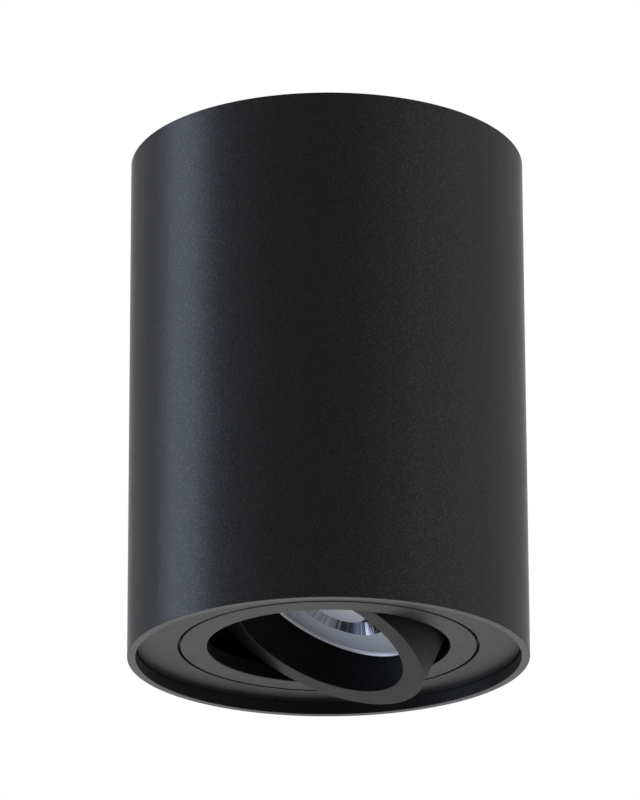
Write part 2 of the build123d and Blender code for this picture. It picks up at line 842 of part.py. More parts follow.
def make_lampholder_body():
    """The ceramic body, with a socket for each pin and a wire way behind it."""
    outline = Rot(0, 0, 90) * SlotOverall(holder_length, holder_width)
    body = Pos(0, 0, holder_front_u) * extrude(outline, holder_height)
    body = chamfer(body.edges().group_by(Axis.Z)[0], 0.6)
    contact_u = base_end_u + pin_neck_length + pin_head_length + running_gap
    for side in (-1, 1):
        place = Pos(0, side * pin_spacing / 2, 0)
        body -= place * rod(holder_socket_radius, holder_front_u - 1, contact_u + contact_thickness)
        body -= place * rod(wire_radius, contact_u, holder_back_u + 1)
    head_seat_u = holder_front_u + holder_rivet_head_height + 0.2
    for place in rivet_places():
        body -= place * rod(holder_rivet_radius + thread_gap, holder_front_u - 1, holder_back_u + 1)
        body -= place * rod(holder_rivet_head + 0.1, holder_front_u - 1, head_seat_u)
    return body


def make_lampholder_contacts():
    """The sprung contact behind each pin's head."""
    contact_u = base_end_u + pin_neck_length + pin_head_length + running_gap
    contact = rod(contact_radius, contact_u, contact_u + contact_thickness)
    contact += rod(wire_radius - 0.2, contact_u, holder_back_u - 0.5)
    return [Pos(0, side * pin_spacing / 2, 0) * contact for side in (-1, 1)]


def make_lampholder_cover():
    """The back cover of the lampholder, with the hole that the sleeve goes into."""
    outline = Rot(0, 0, 90) * SlotOverall(holder_length, holder_width)
    cover = Pos(0, 0, holder_back_u) * extrude(outline, holder_cover)
    cover = chamfer(cover.edges().group_by(Axis.Z)[-1], 0.5)
    cover -= rod(sleeve_radius + small_gap, holder_back_u - 1, cover_back_u + 1)
    for place in rivet_places():
        cover -= place * rod(holder_rivet_radius + thread_gap, holder_back_u - 1, cover_back_u + 1)
    return cover


def make_lampholder_rivets():
    """The rivets that hold cover and body together."""
    front = holder_front_u + 0.2
    rivet = rod(holder_rivet_radius, front, cover_back_u)
    rivet += rod(holder_rivet_head, front, front + holder_rivet_head_height)
    rivet += rod(holder_rivet_head, cover_back_u, cover_back_u + holder_rivet_head_height)
    return [place * rivet for place in rivet_places()]


def stop_angle():
    """How far the swivel turns each way before its tab meets the post."""
    tab_angle = degrees(asin(stop_tab_width / 2 / (retainer_outer_r + small_gap)))
    post_angle = degrees(asin(stop_post_radius / stop_post_r))
    return 180 - tab_angle - post_angle


parts = {
    "housing_tube": [make_housing_tube()],
    "mounting_bracket": [make_mounting_bracket()],
    "side_screws": make_side_screws(),
    "terminal_block": [make_terminal_block()],
    "terminal_tubes": make_terminal_tubes(),
    "terminal_screws": make_terminal_screws(),
    "block_screw": make_block_screw(),
    "earth_lug": make_earth_lug(),
    "earth_washer": make_earth_washer(),
    "earth_screw": make_earth_screw(),
    "earth_wire": make_earth_wire(),
    "lamp_leads": make_lamp_leads(),
    "lead_sleeve_upper": make_lead_sleeve_upper(),
    "lead_sleeve_lower": make_lead_sleeve_lower(),
    "face_plate": [make_face_plate()],
    "plate_clips": make_plate_clips(),
    "clip_screws": make_clip_screws(),
    "swivel_ring": [make_swivel_ring()],
    "swivel_retainer": [make_swivel_retainer()],
    "retainer_screws": make_retainer_screws(),
}
cup_parts = {
    "tilt_cup": [make_tilt_cup()],
    "pivot_screws": make_pivot_screws(),
    "friction_washers": make_friction_washers(),
    "lamp_clip": make_lamp_clip(),
    "lamp_shell": [make_lamp_shell()],
    "lamp_lens": [make_lamp_lens()],
    "led_board": [make_led_board()],
    "led_chips": make_led_chips(),
    "driver_board": [make_driver_board()],
    "driver_parts": make_driver_parts(),
    "lamp_base": [make_lamp_base()],
    "lamp_pins": make_lamp_pins(),
    "lampholder_body": [make_lampholder_body()],
    "lampholder_contacts": make_lampholder_contacts(),
    "lampholder_cover": [make_lampholder_cover()],
    "lampholder_rivets": make_lampholder_rivets(),
}
for name, pieces in cup_parts.items():
    parts[name] = [cup_place * piece for piece in pieces]

os.makedirs("parts", exist_ok=True)
for name, pieces in parts.items():
    solids = [solid for piece in pieces for solid in piece.solids()]
    export_step(solids[0] if len(solids) == 1 else Compound(children=solids), f"parts/{name}.step")

print("swivel turns each way", round(stop_angle(), 1))
print("pivot", round(pivot_z, 3), "lens", round(lens_u, 3), "cover back", round(cover_back_u, 3))
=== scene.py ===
"""The looks of a surface mounted ceiling spotlight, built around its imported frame.

Every length is in metres, in the frame's own axes: +Z up into the ceiling, -Y towards the viewer.
"""

import json
import logging
from collections.abc import Iterable, Sequence
from dataclasses import dataclass, field
from enum import Enum
from math import cos, hypot, pi, radians, sin, tan

import bmesh
import bpy
from mathutils import Matrix, Vector


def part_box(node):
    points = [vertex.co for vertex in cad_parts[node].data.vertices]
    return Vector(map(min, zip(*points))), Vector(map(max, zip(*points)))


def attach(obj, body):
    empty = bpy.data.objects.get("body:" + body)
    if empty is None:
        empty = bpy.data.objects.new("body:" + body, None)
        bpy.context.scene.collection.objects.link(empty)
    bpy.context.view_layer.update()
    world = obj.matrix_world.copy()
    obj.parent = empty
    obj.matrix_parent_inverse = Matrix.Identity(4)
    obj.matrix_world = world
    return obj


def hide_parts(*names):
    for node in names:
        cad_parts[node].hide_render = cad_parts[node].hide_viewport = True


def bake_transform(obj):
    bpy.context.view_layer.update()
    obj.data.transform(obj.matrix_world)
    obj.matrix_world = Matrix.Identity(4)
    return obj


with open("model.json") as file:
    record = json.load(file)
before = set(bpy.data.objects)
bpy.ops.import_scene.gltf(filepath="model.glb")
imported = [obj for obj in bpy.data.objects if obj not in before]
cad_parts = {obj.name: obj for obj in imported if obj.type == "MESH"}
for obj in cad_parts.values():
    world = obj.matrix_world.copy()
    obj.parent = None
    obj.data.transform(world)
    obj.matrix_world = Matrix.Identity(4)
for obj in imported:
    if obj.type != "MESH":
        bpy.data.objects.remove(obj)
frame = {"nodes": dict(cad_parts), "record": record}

LOG = logging.getLogger("spotlight")
MM = 0.001
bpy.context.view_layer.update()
SMOOTH_ANGLE = radians(32)
BEVEL_ANGLE = radians(40)
FLAT_ANGLE = radians(0.5)
WELD = 1e-6
FINE_WELD = 1e-7

WHITE = (1.0, 1.0, 1.0, 1.0)

Colour = tuple[float, float, float]
Point = tuple[float, float, float]


# Node trees ------------------------------------------------------------------------------------


class Shade:
    """An output socket that takes part in plain arithmetic."""

    def __init__(self, graph: "Graph", socket: bpy.types.NodeSocket) -> None:
        """Wraps one output socket of a node in the graph."""
        self.graph = graph
        self.socket = socket

    def also(self, name: str | int) -> "Shade":
        """Another output of the same node."""
        return Shade(self.graph, self.socket.node.outputs[name])

    def maths(self, operation: str, *others: "Shade | float") -> "Shade":
        """A Math node on this value and the others."""
        sockets = dict(enumerate((self, *others)))
        return self.graph.add("ShaderNodeMath", {"operation": operation}, sockets)

    def __add__(self, other: "Shade | float") -> "Shade":
        """The sum."""
        return self.maths("ADD", other)

    def __sub__(self, other: "Shade | float") -> "Shade":
        """The difference."""
        return self.maths("SUBTRACT", other)

    def __rsub__(self, other: float) -> "Shade":
        """A number less this value."""
        return self.graph.add("ShaderNodeMath", {"operation": "SUBTRACT"}, {0: other, 1: self})

    def __mul__(self, other: "Shade | float") -> "Shade":
        """The product."""
        return self.maths("MULTIPLY", other)

    def __truediv__(self, other: "Shade | float") -> "Shade":
        """The quotient."""
        return self.maths("DIVIDE", other)

    __radd__ = __add__
    __rmul__ = __mul__

    def swing(self, amount: float) -> "Shade":
        """How far the value lies from one half, times an amount."""
        return (self - 0.5) * amount

    def between(self, low: float, high: float) -> "Shade":
        """A smooth step from 0 at low to 1 at high."""
        settings = {"interpolation_type": "SMOOTHSTEP"}
        return self.graph.add("ShaderNodeMapRange", settings, {0: self, 1: low, 2: high, 3: 0.0, 4: 1.0})


Value = Shade | float | int | bool | tuple | bpy.types.ID


class Graph:
    """Adds nodes to one shader or geometry tree."""

    def __init__(self, tree: bpy.types.NodeTree) -> None:
        """Starts from an empty tree."""
        self.tree = tree
        tree.nodes.clear()

    def add(
        self,
        kind: str,
        settings: dict[str, object] | None = None,
        sockets: dict[str | int, Value] | None = None,
        out: str | int = 0,
    ) -> Shade:
        """Adds one node.

        Args:
            kind: The node's type.
            settings: Its own properties; stops is a ramp's list of (position, colour).
            sockets: The value of, or the link to, each input by name or index.
            out: The output that is returned.

        Returns:
            The chosen output.
        """
        node = self.tree.nodes.new(kind)
        for name, value in (settings or {}).items():
            if name == "stops":
                self._set_stops(node.color_ramp, value)
            else:
                setattr(node, name, value)
        for key, value in (sockets or {}).items():
            if isinstance(value, Shade):
                self.tree.links.new(value.socket, node.inputs[key])
            else:
                node.inputs[key].default_value = value
        return Shade(self, node.outputs[out]) if len(node.outputs) else Shade(self, node.inputs[0])

    @staticmethod
    def _set_stops(ramp: bpy.types.ColorRamp, stops: Sequence[tuple[float, Colour]]) -> None:
        """Gives a ramp exactly these stops."""
        while len(ramp.elements) < len(stops):
            ramp.elements.new(1.0)
        for element, (position, colour) in zip(ramp.elements, stops):
            element.position = position
            element.color = (*colour, 1.0)

    def vector(self, operation: str, *values: Value, out: str | int = 0) -> Shade:
        """A Vector Math node on the given values."""
        return self.add("ShaderNodeVectorMath", {"operation": operation}, dict(enumerate(values)), out)

    def attribute(self, name: str) -> Shade:
        """The number that the mesh carries under a name."""
        return self.add("ShaderNodeAttribute", {"attribute_name": name}, out="Fac")

    def mix(self, factor: Shade | float, first: Value, second: Value) -> Shade:
        """A colour between two others."""
        sockets = {0: factor, 6: _rgba(first), 7: _rgba(second)}
        return self.add("ShaderNodeMix", {"data_type": "RGBA"}, sockets, out=2)

    def noise(self, where: Shade, grain: float, detail: float = 2.0, seed: float = 0.0) -> Shade:
        """Noise whose grains are about so many metres across, with its own seed."""
        settings = {"noise_dimensions": "4D"}
        sockets = {"Vector": where, "W": seed, "Scale": 1.0 / grain, "Detail": detail}
        return self.add("ShaderNodeTexNoise", settings, sockets)

    def bump(self, height: Shade, depth: float, under: Shade | None = None) -> Shade:
        """A normal from a height of 0 to 1 that is so many metres deep, on top of another if one is given."""
        sockets = {"Strength": 1.0, "Distance": depth, "Height": height}
        return self.add("ShaderNodeBump", None, sockets if under is None else {**sockets, "Normal": under})


def _rgba(value: Value) -> Value:
    """A colour with its alpha, or a link as it is."""
    if isinstance(value, tuple) and len(value) == 3:
        return (*value, 1.0)
    return value


def new_surface(name: str) -> tuple[bpy.types.Material, Graph, Shade]:
    """A new node material with the piece's own coordinates.

    Args:
        name: The material's name.

    Returns:
        The material, its graph and the Object coordinates.
    """
    material = bpy.data.materials.new(name)
    material.use_nodes = True
    graph = Graph(material.node_tree)
    where = graph.add("ShaderNodeTexCoord", out="Object")
    return material, graph, where


def close_surface(graph: Graph, shader: Shade) -> None:
    """Leads a shader to the material's output."""
    graph.add("ShaderNodeOutputMaterial", None, {"Surface": shader})


def principled(graph: Graph, sockets: dict[str, Value]) -> Shade:
    """A Principled shader with the given sockets."""
    return graph.add("ShaderNodeBsdfPrincipled", None, {k: _rgba(v) for k, v in sockets.items()})


def finished(material: bpy.types.Material, graph: Graph, sockets: dict[str, Value]) -> bpy.types.Material:
    """Ends a material with one Principled shader.

    Args:
        material: The material.
        graph: Its graph.
        sockets: The value of, or the link to, each of the shader's inputs.

    Returns:
        The material.
    """
    close_surface(graph, principled(graph, sockets))
    return material


def scaled(colour: Colour, factor: float) -> Colour:
    """A colour made lighter or darker."""
    return tuple(channel * factor for channel in colour)


# Finishes --------------------------------------------------------------------------------------


class Grain(Enum):
    """How a metal's surface was left."""

    ROLLED = "rolled"
    TURNED = "turned"
    PLATED = "plated"


@dataclass(frozen=True)
class PowderCoat:
    """Satin black powder coat: a fine pebbled skin over a softer orange peel, with grains that glint."""

    name: str
    colour: Colour = (0.015, 0.015, 0.0155)
    roughness: float = 0.32
    specular: float = 0.38
    grain: float = 0.3 * MM
    grain_depth: float = 0.03 * MM
    peel: float = 2.4 * MM
    peel_depth: float = 0.01 * MM
    glint: float = 0.08
    glint_low: float = 0.5
    glint_high: float = 0.64
    mottle: float = 9 * MM
    lighter: float = 1.35
    cool: Colour = (0.9, 0.97, 1.15)
    warm: Colour = (1.1, 1.0, 0.95)

    def make(self) -> bpy.types.Material:
        """The material, whose grains each lie at their own slope and mirror more or less."""
        material, graph, where = new_surface(self.name)
        pebbles = graph.noise(where, self.grain, 1.0, 1.7)
        peel = graph.noise(where, self.peel, 1.0, 4.1)
        mottle = graph.noise(where, self.mottle, 2.0, 7.3)
        hue = graph.noise(where, 2 * self.grain, 0.0, 2.9)
        soft = graph.bump(peel, self.peel_depth)
        grainy = graph.bump(pebbles, self.grain_depth, under=soft)
        coat = graph.mix(mottle, self.colour, scaled(self.colour, self.lighter))
        cool, warm = scaled(self.cool, self.glint), scaled(self.warm, self.glint)
        glints = pebbles.between(self.glint_low, self.glint_high)
        sockets = {
            "Base Color": graph.mix(glints, coat, graph.mix(hue.between(0.4, 0.6), cool, warm)),
            "Metallic": glints,
            "Roughness": self.roughness + mottle.swing(0.06) + pebbles.swing(0.12),
            "Specular IOR Level": self.specular,
            "Normal": grainy,
        }
        return finished(material, graph, sockets)


@dataclass(frozen=True)
class Metal:
    """Bare or plated metal with the marks of how it was made."""

    name: str
    colour: Colour
    roughness: float = 0.3
    grain: Grain = Grain.PLATED
    stain: float = 0.25

    def make(self) -> bpy.types.Material:
        """The material, cloudy where it is plated and lined where it is rolled or turned."""
        material, graph, where = new_surface(self.name)
        cloud = graph.noise(where, 3 * MM, 3.0, 2.0)
        stretch = {
            Grain.ROLLED: (1.0, 0.03, 1.0),
            Grain.TURNED: (1.0, 1.0, 0.08),
            Grain.PLATED: (1.0, 1.0, 1.0),
        }[self.grain]
        lined = graph.add("ShaderNodeMapping", None, {"Vector": where, "Scale": stretch})
        lines = graph.noise(lined, 0.35 * MM, 2.0, 5.0)
        dull = scaled(self.colour, 1 - self.stain)
        sockets = {
            "Base Color": graph.mix(cloud.between(0.35, 0.7), self.colour, dull),
            "Metallic": 1.0,
            "Roughness": self.roughness + lines.swing(0.18) + cloud.swing(0.12),
            "Normal": graph.bump(lines, 0.004 * MM),
        }
        return finished(material, graph, sockets)


@dataclass(frozen=True)
class Moulding:
    """Moulded plastic or pressed ceramic with a faint grain and uneven gloss."""

    name: str
    colour: Colour
    roughness: float = 0.45
    grain: float = 0.6 * MM
    depth: float = 0.006 * MM
    fleck: float = 0.12
    subsurface: float = 0.0

    def make(self) -> bpy.types.Material:
        """The material."""
        material, graph, where = new_surface(self.name)
        fine = graph.noise(where, self.grain, 3.0, 3.0)
        broad = graph.noise(where, 12 * self.grain, 2.0, 8.0)
        deep = scaled(self.colour, 1 - self.fleck)
        sockets = {
            "Base Color": graph.mix(fine * 0.5 + broad * 0.5, deep, self.colour),
            "Roughness": self.roughness + broad.swing(0.15),
            "Normal": graph.bump(fine, self.depth),
            "Subsurface Weight": self.subsurface,
            "Subsurface Scale": 1.0 * MM,
        }
        return finished(material, graph, sockets)


@dataclass(frozen=True)
class LensPlan:
    """The moulded ring round the middle of the lamp's front, and the collimators behind it."""

    disc: float = 8.05 * MM
    ring: float = 13.2 * MM
    narrow: float = 10.9 * MM
    depth: float = 2.2 * MM
    # Radius from which the front gets its painted highlight on the rim bead.
    rim: float = 20.9 * MM
    pitch: float = 8.2 * MM
    turn: float = radians(41)
    count: int = 3
    collimator_front: float = 7.0 * MM
    collimator_back: float = 3.0 * MM


@dataclass(frozen=True)
class LensFront:
    """The lamp's clear front with painted light and a painted highlight on its rim bead, and a ring whose
    wall mirrors what is round it and also carries painted reflections and painted shade.
    """

    name: str
    home: Matrix
    plan: LensPlan = LensPlan()
    colour: Colour = (0.72, 0.73, 0.82)
    silver: Colour = (0.95, 0.96, 1.0)
    # The next four colours are painted: shade in the ring, dim and bright reflections on its wall, and a
    # highlight on the rim bead.
    deep: Colour = (0.028, 0.029, 0.045)
    painted_reflection_dim: Colour = (0.27, 0.275, 0.31)
    painted_reflection_bright: Colour = (0.42, 0.43, 0.46)
    bright: Colour = (0.97, 0.98, 1.0)
    # Where the ring's painted shade lies round the lamp's axis.
    lobe: float = radians(46)
    silvering: float = 0.2
    roughness: float = 0.3
    ray_width: float = 0.045
    blend: float = 0.05 * MM
    flow: float = 9 * MM
    # The span over which the front's painted light fades from its lighter side.
    painted_light_low: float = -2 * MM
    painted_light_high: float = 17 * MM
    relief: float = 0.12 * MM

    def make(self) -> bpy.types.Material:
        """The material: a silvered front with painted light, lighter towards one side and less silvered in
        the middle, a painted highlight on the rim bead, and a streaked mirror in the ring.

        The ring's wall carries painted reflections, and painted shade between the collimators.
        """
        material, graph, where = new_surface(self.name)
        plan = self.plan
        flat = graph.vector("MULTIPLY", own_axes(graph, where, self.home), (1.0, 1.0, 0.0))
        reach = graph.vector("LENGTH", flat, out="Value")
        around = graph.vector("NORMALIZE", flat)
        rays = graph.noise(around, self.ray_width, 2.0, 3.3)
        sides = graph.add("ShaderNodeSeparateXYZ", None, {0: flat})
        angle = sides.also(1).maths("ARCTAN2", sides)
        turned = ((angle - self.lobe) * plan.count).maths("COSINE")
        # Painted shade: lobes in the ring between the collimators.
        painted_shade_lobes = (turned + rays.swing(-1.6)).between(0.45, 0.75)
        middle = 1 - reach.between(plan.disc - self.blend, plan.disc)
        ring = (1 - middle) * (1 - reach.between(plan.ring - self.blend, plan.ring))
        flow = graph.noise(where, self.flow, 0.0, 6.0)
        # Painted light: this factor makes the front lighter towards one side.
        pale = 1 - sides.also(1).between(self.painted_light_low, self.painted_light_high)
        # Painted highlight: a near-white band over the rim bead and the edge beyond it.
        rim = reach.between(plan.rim - self.blend, plan.rim)
        shaded = pale * (0.8 - middle * 0.4) + flow * 0.2
        plain = graph.mix(rim, graph.mix(shaded, self.colour, self.silver), self.bright)
        # Painted reflections: lighter and dimmer marks along the ring's wall.
        painted_reflection_streaks = graph.mix(rays.between(0.48, 0.6), self.painted_reflection_dim, self.painted_reflection_bright)
        smoother = ring * (self.roughness - 0.1 - rays * 0.1)
        sockets = {
            "Base Color": graph.mix(ring, plain, graph.mix(painted_shade_lobes, painted_reflection_streaks, self.deep)),
            "Metallic": self.silvering + ring * (0.9 - self.silvering),
            "Roughness": self.roughness + flow.swing(0.08) - smoother,
            "Coat Weight": 0.6,
            "Coat Roughness": 0.16,
            "Normal": graph.bump(rays * ring, self.relief),
        }
        return finished(material, graph, sockets)


def own_axes(graph: Graph, where: Shade, home: Matrix) -> Shade:
    """Coordinates in a piece's own axes.

    Args:
        graph: The material's graph.
        where: The Object coordinates.
        home: The place of the piece's own axes in the frame.

    Returns:
        The coordinates, turned and centred by a Mapping node.
    """
    back = home.inverted()
    sockets = {"Vector": where, "Location": back.to_translation(), "Rotation": back.to_euler("XYZ")}
    return graph.add("ShaderNodeMapping", None, sockets)


@dataclass(frozen=True)
class Braid:
    """Woven glass sleeve: strands that cross over and under around the tube."""

    name: str
    colour: Colour
    pitch: float = 3.2 * MM
    strands: int = 12
    shadow: float = 0.55

    def make(self) -> bpy.types.Material:
        """The material, from the tube's own along and around attributes."""
        material, graph, _ = new_surface(self.name)
        along = graph.attribute("along") / self.pitch
        around = graph.attribute("around")
        right = ((along + around * 2.0) * (self.strands / 2 * 2 * pi)).maths("SINE")
        left = ((along - around * 2.0) * (self.strands / 2 * 2 * pi)).maths("SINE")
        weave = right.maths("MAXIMUM", left) * 0.5 + 0.5
        sockets = {
            "Base Color": graph.mix(weave, scaled(self.colour, self.shadow), self.colour),
            "Roughness": 0.75 - weave * 0.2,
            "Sheen Weight": 0.2,
            "Normal": graph.bump(weave, 0.12 * MM),
        }
        return finished(material, graph, sockets)


@dataclass(frozen=True)
class Striped:
    """Wire insulation with one stripe that runs along it."""

    name: str
    colour: Colour
    stripe: Colour
    stripe_share: float = 0.3

    def make(self) -> bpy.types.Material:
        """The material, from the wire's own around attribute."""
        material, graph, where = new_surface(self.name)
        around = graph.attribute("around")
        band = (around - 0.5).maths("ABSOLUTE").between(self.stripe_share / 2, self.stripe_share / 2 + 0.03)
        fine = graph.noise(where, 0.5 * MM, 2.0, 2.0)
        sockets = {
            "Base Color": graph.mix(band, self.stripe, self.colour),
            "Roughness": 0.38 + fine.swing(0.15),
            "Normal": graph.bump(fine, 0.008 * MM),
        }
        return finished(material, graph, sockets)


class Finishes:
    """Every finish of the light, made once and looked up by its slot in the record."""

    def __init__(self, lamp_axes: Matrix) -> None:
        """Makes the materials, the lens's in the lamp's own axes."""
        coats = [
            PowderCoat("housing_powder_coat"),
            PowderCoat("plate_powder_coat", (0.008, 0.008, 0.0078), 0.42, 0.52, glint=0.045),
            PowderCoat("cup_powder_coat", (0.006, 0.006, 0.0062), 0.44, 0.52, glint=0.045),
            # A darker coat that paints shade on the walls of the cup's bore and the ring's opening.
            PowderCoat("bore_painted_shade", (0.004, 0.004, 0.004), 0.6, 0.22, glint=0.012),
        ]
        metals = [
            Metal("bracket_steel", (0.56, 0.57, 0.58), 0.34, Grain.ROLLED),
            Metal("spring_steel", (0.5, 0.5, 0.52), 0.26, Grain.ROLLED, 0.15),
            Metal("screw_steel", (0.6, 0.6, 0.62), 0.28),
            Metal("lug_tin", (0.7, 0.7, 0.69), 0.32),
            Metal("brass", (0.75, 0.55, 0.25), 0.25, Grain.TURNED),
            Metal("pin_nickel", (0.7, 0.67, 0.62), 0.2, Grain.TURNED),
        ]
        mouldings = [
            Moulding("block_nylon", (0.78, 0.77, 0.71), 0.42, subsurface=0.2),
            Moulding("washer_nylon", (0.75, 0.74, 0.68), 0.45, subsurface=0.2),
            Moulding("lamp_plastic", (0.7, 0.7, 0.69), 0.4),
            Moulding("lamp_base_plastic", (0.74, 0.74, 0.72), 0.35),
            Moulding("board_white", (0.8, 0.8, 0.77), 0.3),
            Moulding("board_green", (0.03, 0.16, 0.07), 0.3, fleck=0.3),
            Moulding("led_phosphor", (0.8, 0.62, 0.14), 0.4, grain=0.2 * MM, fleck=0.25),
            Moulding("driver_parts", (0.05, 0.05, 0.055), 0.5),
            Moulding("steatite", (0.76, 0.73, 0.66), 0.6, grain=0.35 * MM, depth=0.012 * MM, fleck=0.18),
        ]
        soft = [
            Braid("sleeve_glass_braid", (0.74, 0.72, 0.64)),
            Striped("earth_insulation", (0.06, 0.3, 0.04), (0.7, 0.6, 0.03)),
            Striped("lead_insulation", (0.42, 0.43, 0.42), (0.42, 0.43, 0.42)),
        ]
        everything = [*coats, *metals, *mouldings, LensFront("lens_clear", lamp_axes), *soft]
        self._made = {finish.name: finish.make() for finish in everything}

    def __getitem__(self, slot: str) -> bpy.types.Material:
        """The material of one slot."""
        return self._made[slot]


# Meshes ----------------------------------------------------------------------------------------


@dataclass(frozen=True)
class Corner:
    """One corner of a turned outline, and how far it is rounded."""

    radius: float
    height: float
    rounding: float = 0.0


def rounded(corners: Sequence[Corner], steps: int) -> list[Vector]:
    """A closed outline with an arc at each rounded corner, and a point on the flat beside it.

    Args:
        corners: The outline's corners, in order.
        steps: The number of straight pieces in each arc.

    Returns:
        The points as (radius, height).
    """
    points: list[Vector] = []
    count = len(corners)
    for index, corner in enumerate(corners):
        here = Vector((corner.radius, corner.height))
        if corner.rounding <= 0:
            points.append(here)
            continue
        before = corners[index - 1]
        after = corners[(index + 1) % count]
        to_before = (Vector((before.radius, before.height)) - here).normalized()
        to_after = (Vector((after.radius, after.height)) - here).normalized()
        half = to_before.angle(to_after) / 2
        reach = corner.rounding / tan(half)
        centre = here + (to_before + to_after).normalized() * (corner.rounding / sin(half))
        start = here + to_before * reach - centre
        end = here + to_after * reach - centre
        sweep = start.angle_signed(end)
        margin = reach + corner.rounding * 0.3
        points.append(here + to_before * margin)
        for step in range(steps + 1):
            turn = Matrix.Rotation(-sweep * step / steps, 2)
            points.append(centre + turn @ start)
        points.append(here + to_after * margin)
    return points


def add_object(name: str, data: bpy.types.ID) -> bpy.types.Object:
    """Puts new data in the scene as an object at the origin."""
    thing = bpy.data.objects.new(name, data)
    bpy.context.scene.collection.objects.link(thing)
    return thing


def drop_object(thing: bpy.types.Object) -> None:
    """Removes a helper object."""
    bpy.data.objects.remove(thing, do_unlink=True)


def evaluated(thing: bpy.types.Object) -> bpy.types.Mesh:
    """The mesh that an object's modifiers make, as data of its own."""
    graph = bpy.context.evaluated_depsgraph_get()
    return bpy.data.meshes.new_from_object(thing.evaluated_get(graph), depsgraph=graph)


def shade(mesh: bpy.types.Mesh) -> None:
    """Smooths a mesh, with its corners kept sharp."""
    mesh.shade_smooth()
    mesh.set_sharp_from_angle(angle=SMOOTH_ANGLE)


def extent(points: Iterable[Vector]) -> tuple[Vector, Vector]:
    """The lowest and highest corners of some points."""
    axes = list(zip(*points))
    return Vector([min(axis) for axis in axes]), Vector([max(axis) for axis in axes])


def tidy_shell(mesh: bpy.types.Mesh) -> None:
    """Merges doubles and turns every face outwards."""
    shell = bmesh.new()
    shell.from_mesh(mesh)
    bmesh.ops.remove_doubles(shell, verts=shell.verts, dist=FINE_WELD)
    bmesh.ops.dissolve_degenerate(shell, edges=shell.edges, dist=FINE_WELD)
    bmesh.ops.recalc_face_normals(shell, faces=shell.faces)
    shell.to_mesh(mesh)
    shell.free()


class Recipe:
    """A geometry tree with named inputs, whose result becomes a plain mesh."""

    KINDS = {
        float: "NodeSocketFloat",
        int: "NodeSocketInt",
        bpy.types.Object: "NodeSocketObject",
        bpy.types.Material: "NodeSocketMaterial",
    }

    def __init__(self, name: str, inputs: dict[str, type]) -> None:
        """Makes the tree with a geometry input and output, and the named inputs.

        Args:
            name: The tree's name.
            inputs: The type of each named input.
        """
        self.tree = bpy.data.node_groups.new(name, "GeometryNodeTree")
        self.tree.interface.new_socket("Geometry", in_out="INPUT", socket_type="NodeSocketGeometry")
        self.tree.interface.new_socket("Geometry", in_out="OUTPUT", socket_type="NodeSocketGeometry")
        for label, kind in inputs.items():
            self.tree.interface.new_socket(label, in_out="INPUT", socket_type=self.KINDS[kind])
        self.graph = Graph(self.tree)
        self.given = self.graph.add("NodeGroupInput")

    def __getitem__(self, label: str) -> Shade:
        """One of the tree's inputs."""
        return self.given.also(label)

    def join(self, shapes: Iterable[Shade]) -> Shade:
        """Several shapes as one geometry."""
        whole = self.graph.add("GeometryNodeJoinGeometry")
        for one in shapes:
            self.tree.links.new(one.socket, whole.socket.node.inputs[0])
        return whole

    def cut(self, shape: Shade, cutter: Shade) -> Shade:
        """A shape less a cutter."""
        settings = {"operation": "DIFFERENCE", "solver": "EXACT"}
        sockets = {0: shape, 1: cutter, "Self Intersection": True}
        return self.graph.add("GeometryNodeMeshBoolean", settings, sockets)

    def part(self, label: str) -> Shade:
        """The shape of one of the objects that the tree is given."""
        return self.graph.add("GeometryNodeObjectInfo", None, {"Object": self[label]}, out="Geometry")

    def circle(self) -> Shade:
        """A circle with the tree's own Radius and Sides."""
        sockets = {"Resolution": self["Sides"], "Radius": self["Radius"]}
        return self.graph.add("GeometryNodeCurvePrimitiveCircle", {"mode": "RADIUS"}, sockets)

    def close(self, geometry: Shade) -> None:
        """Ends the tree with real geometry in its material."""
        real = self.graph.add("GeometryNodeRealizeInstances", None, {"Geometry": geometry})
        sockets = {"Geometry": real, "Material": self["Material"]}
        painted = self.graph.add("GeometryNodeSetMaterial", None, sockets)
        self.graph.add("NodeGroupOutput", None, {"Geometry": painted})

    def cook(
        self, name: str, values: dict[str, object], start: bpy.types.Mesh | None = None
    ) -> bpy.types.Object:
        """Runs the tree once.

        Args:
            name: The new piece's name.
            values: The value of each named input.
            start: The mesh that the tree starts from, if it needs one.

        Returns:
            The piece, as a plain mesh without a modifier.
        """
        piece = add_object(name, start or bpy.data.meshes.new(name))
        modifier = piece.modifiers.new("recipe", "NODES")
        modifier.node_group = self.tree
        for item in self.tree.interface.items_tree:
            if item.in_out == "INPUT" and item.name in values:
                modifier[item.identifier] = values[item.name]
        mesh = evaluated(piece)
        mesh.name = name
        piece.modifiers.remove(modifier)
        piece.data = mesh
        return piece


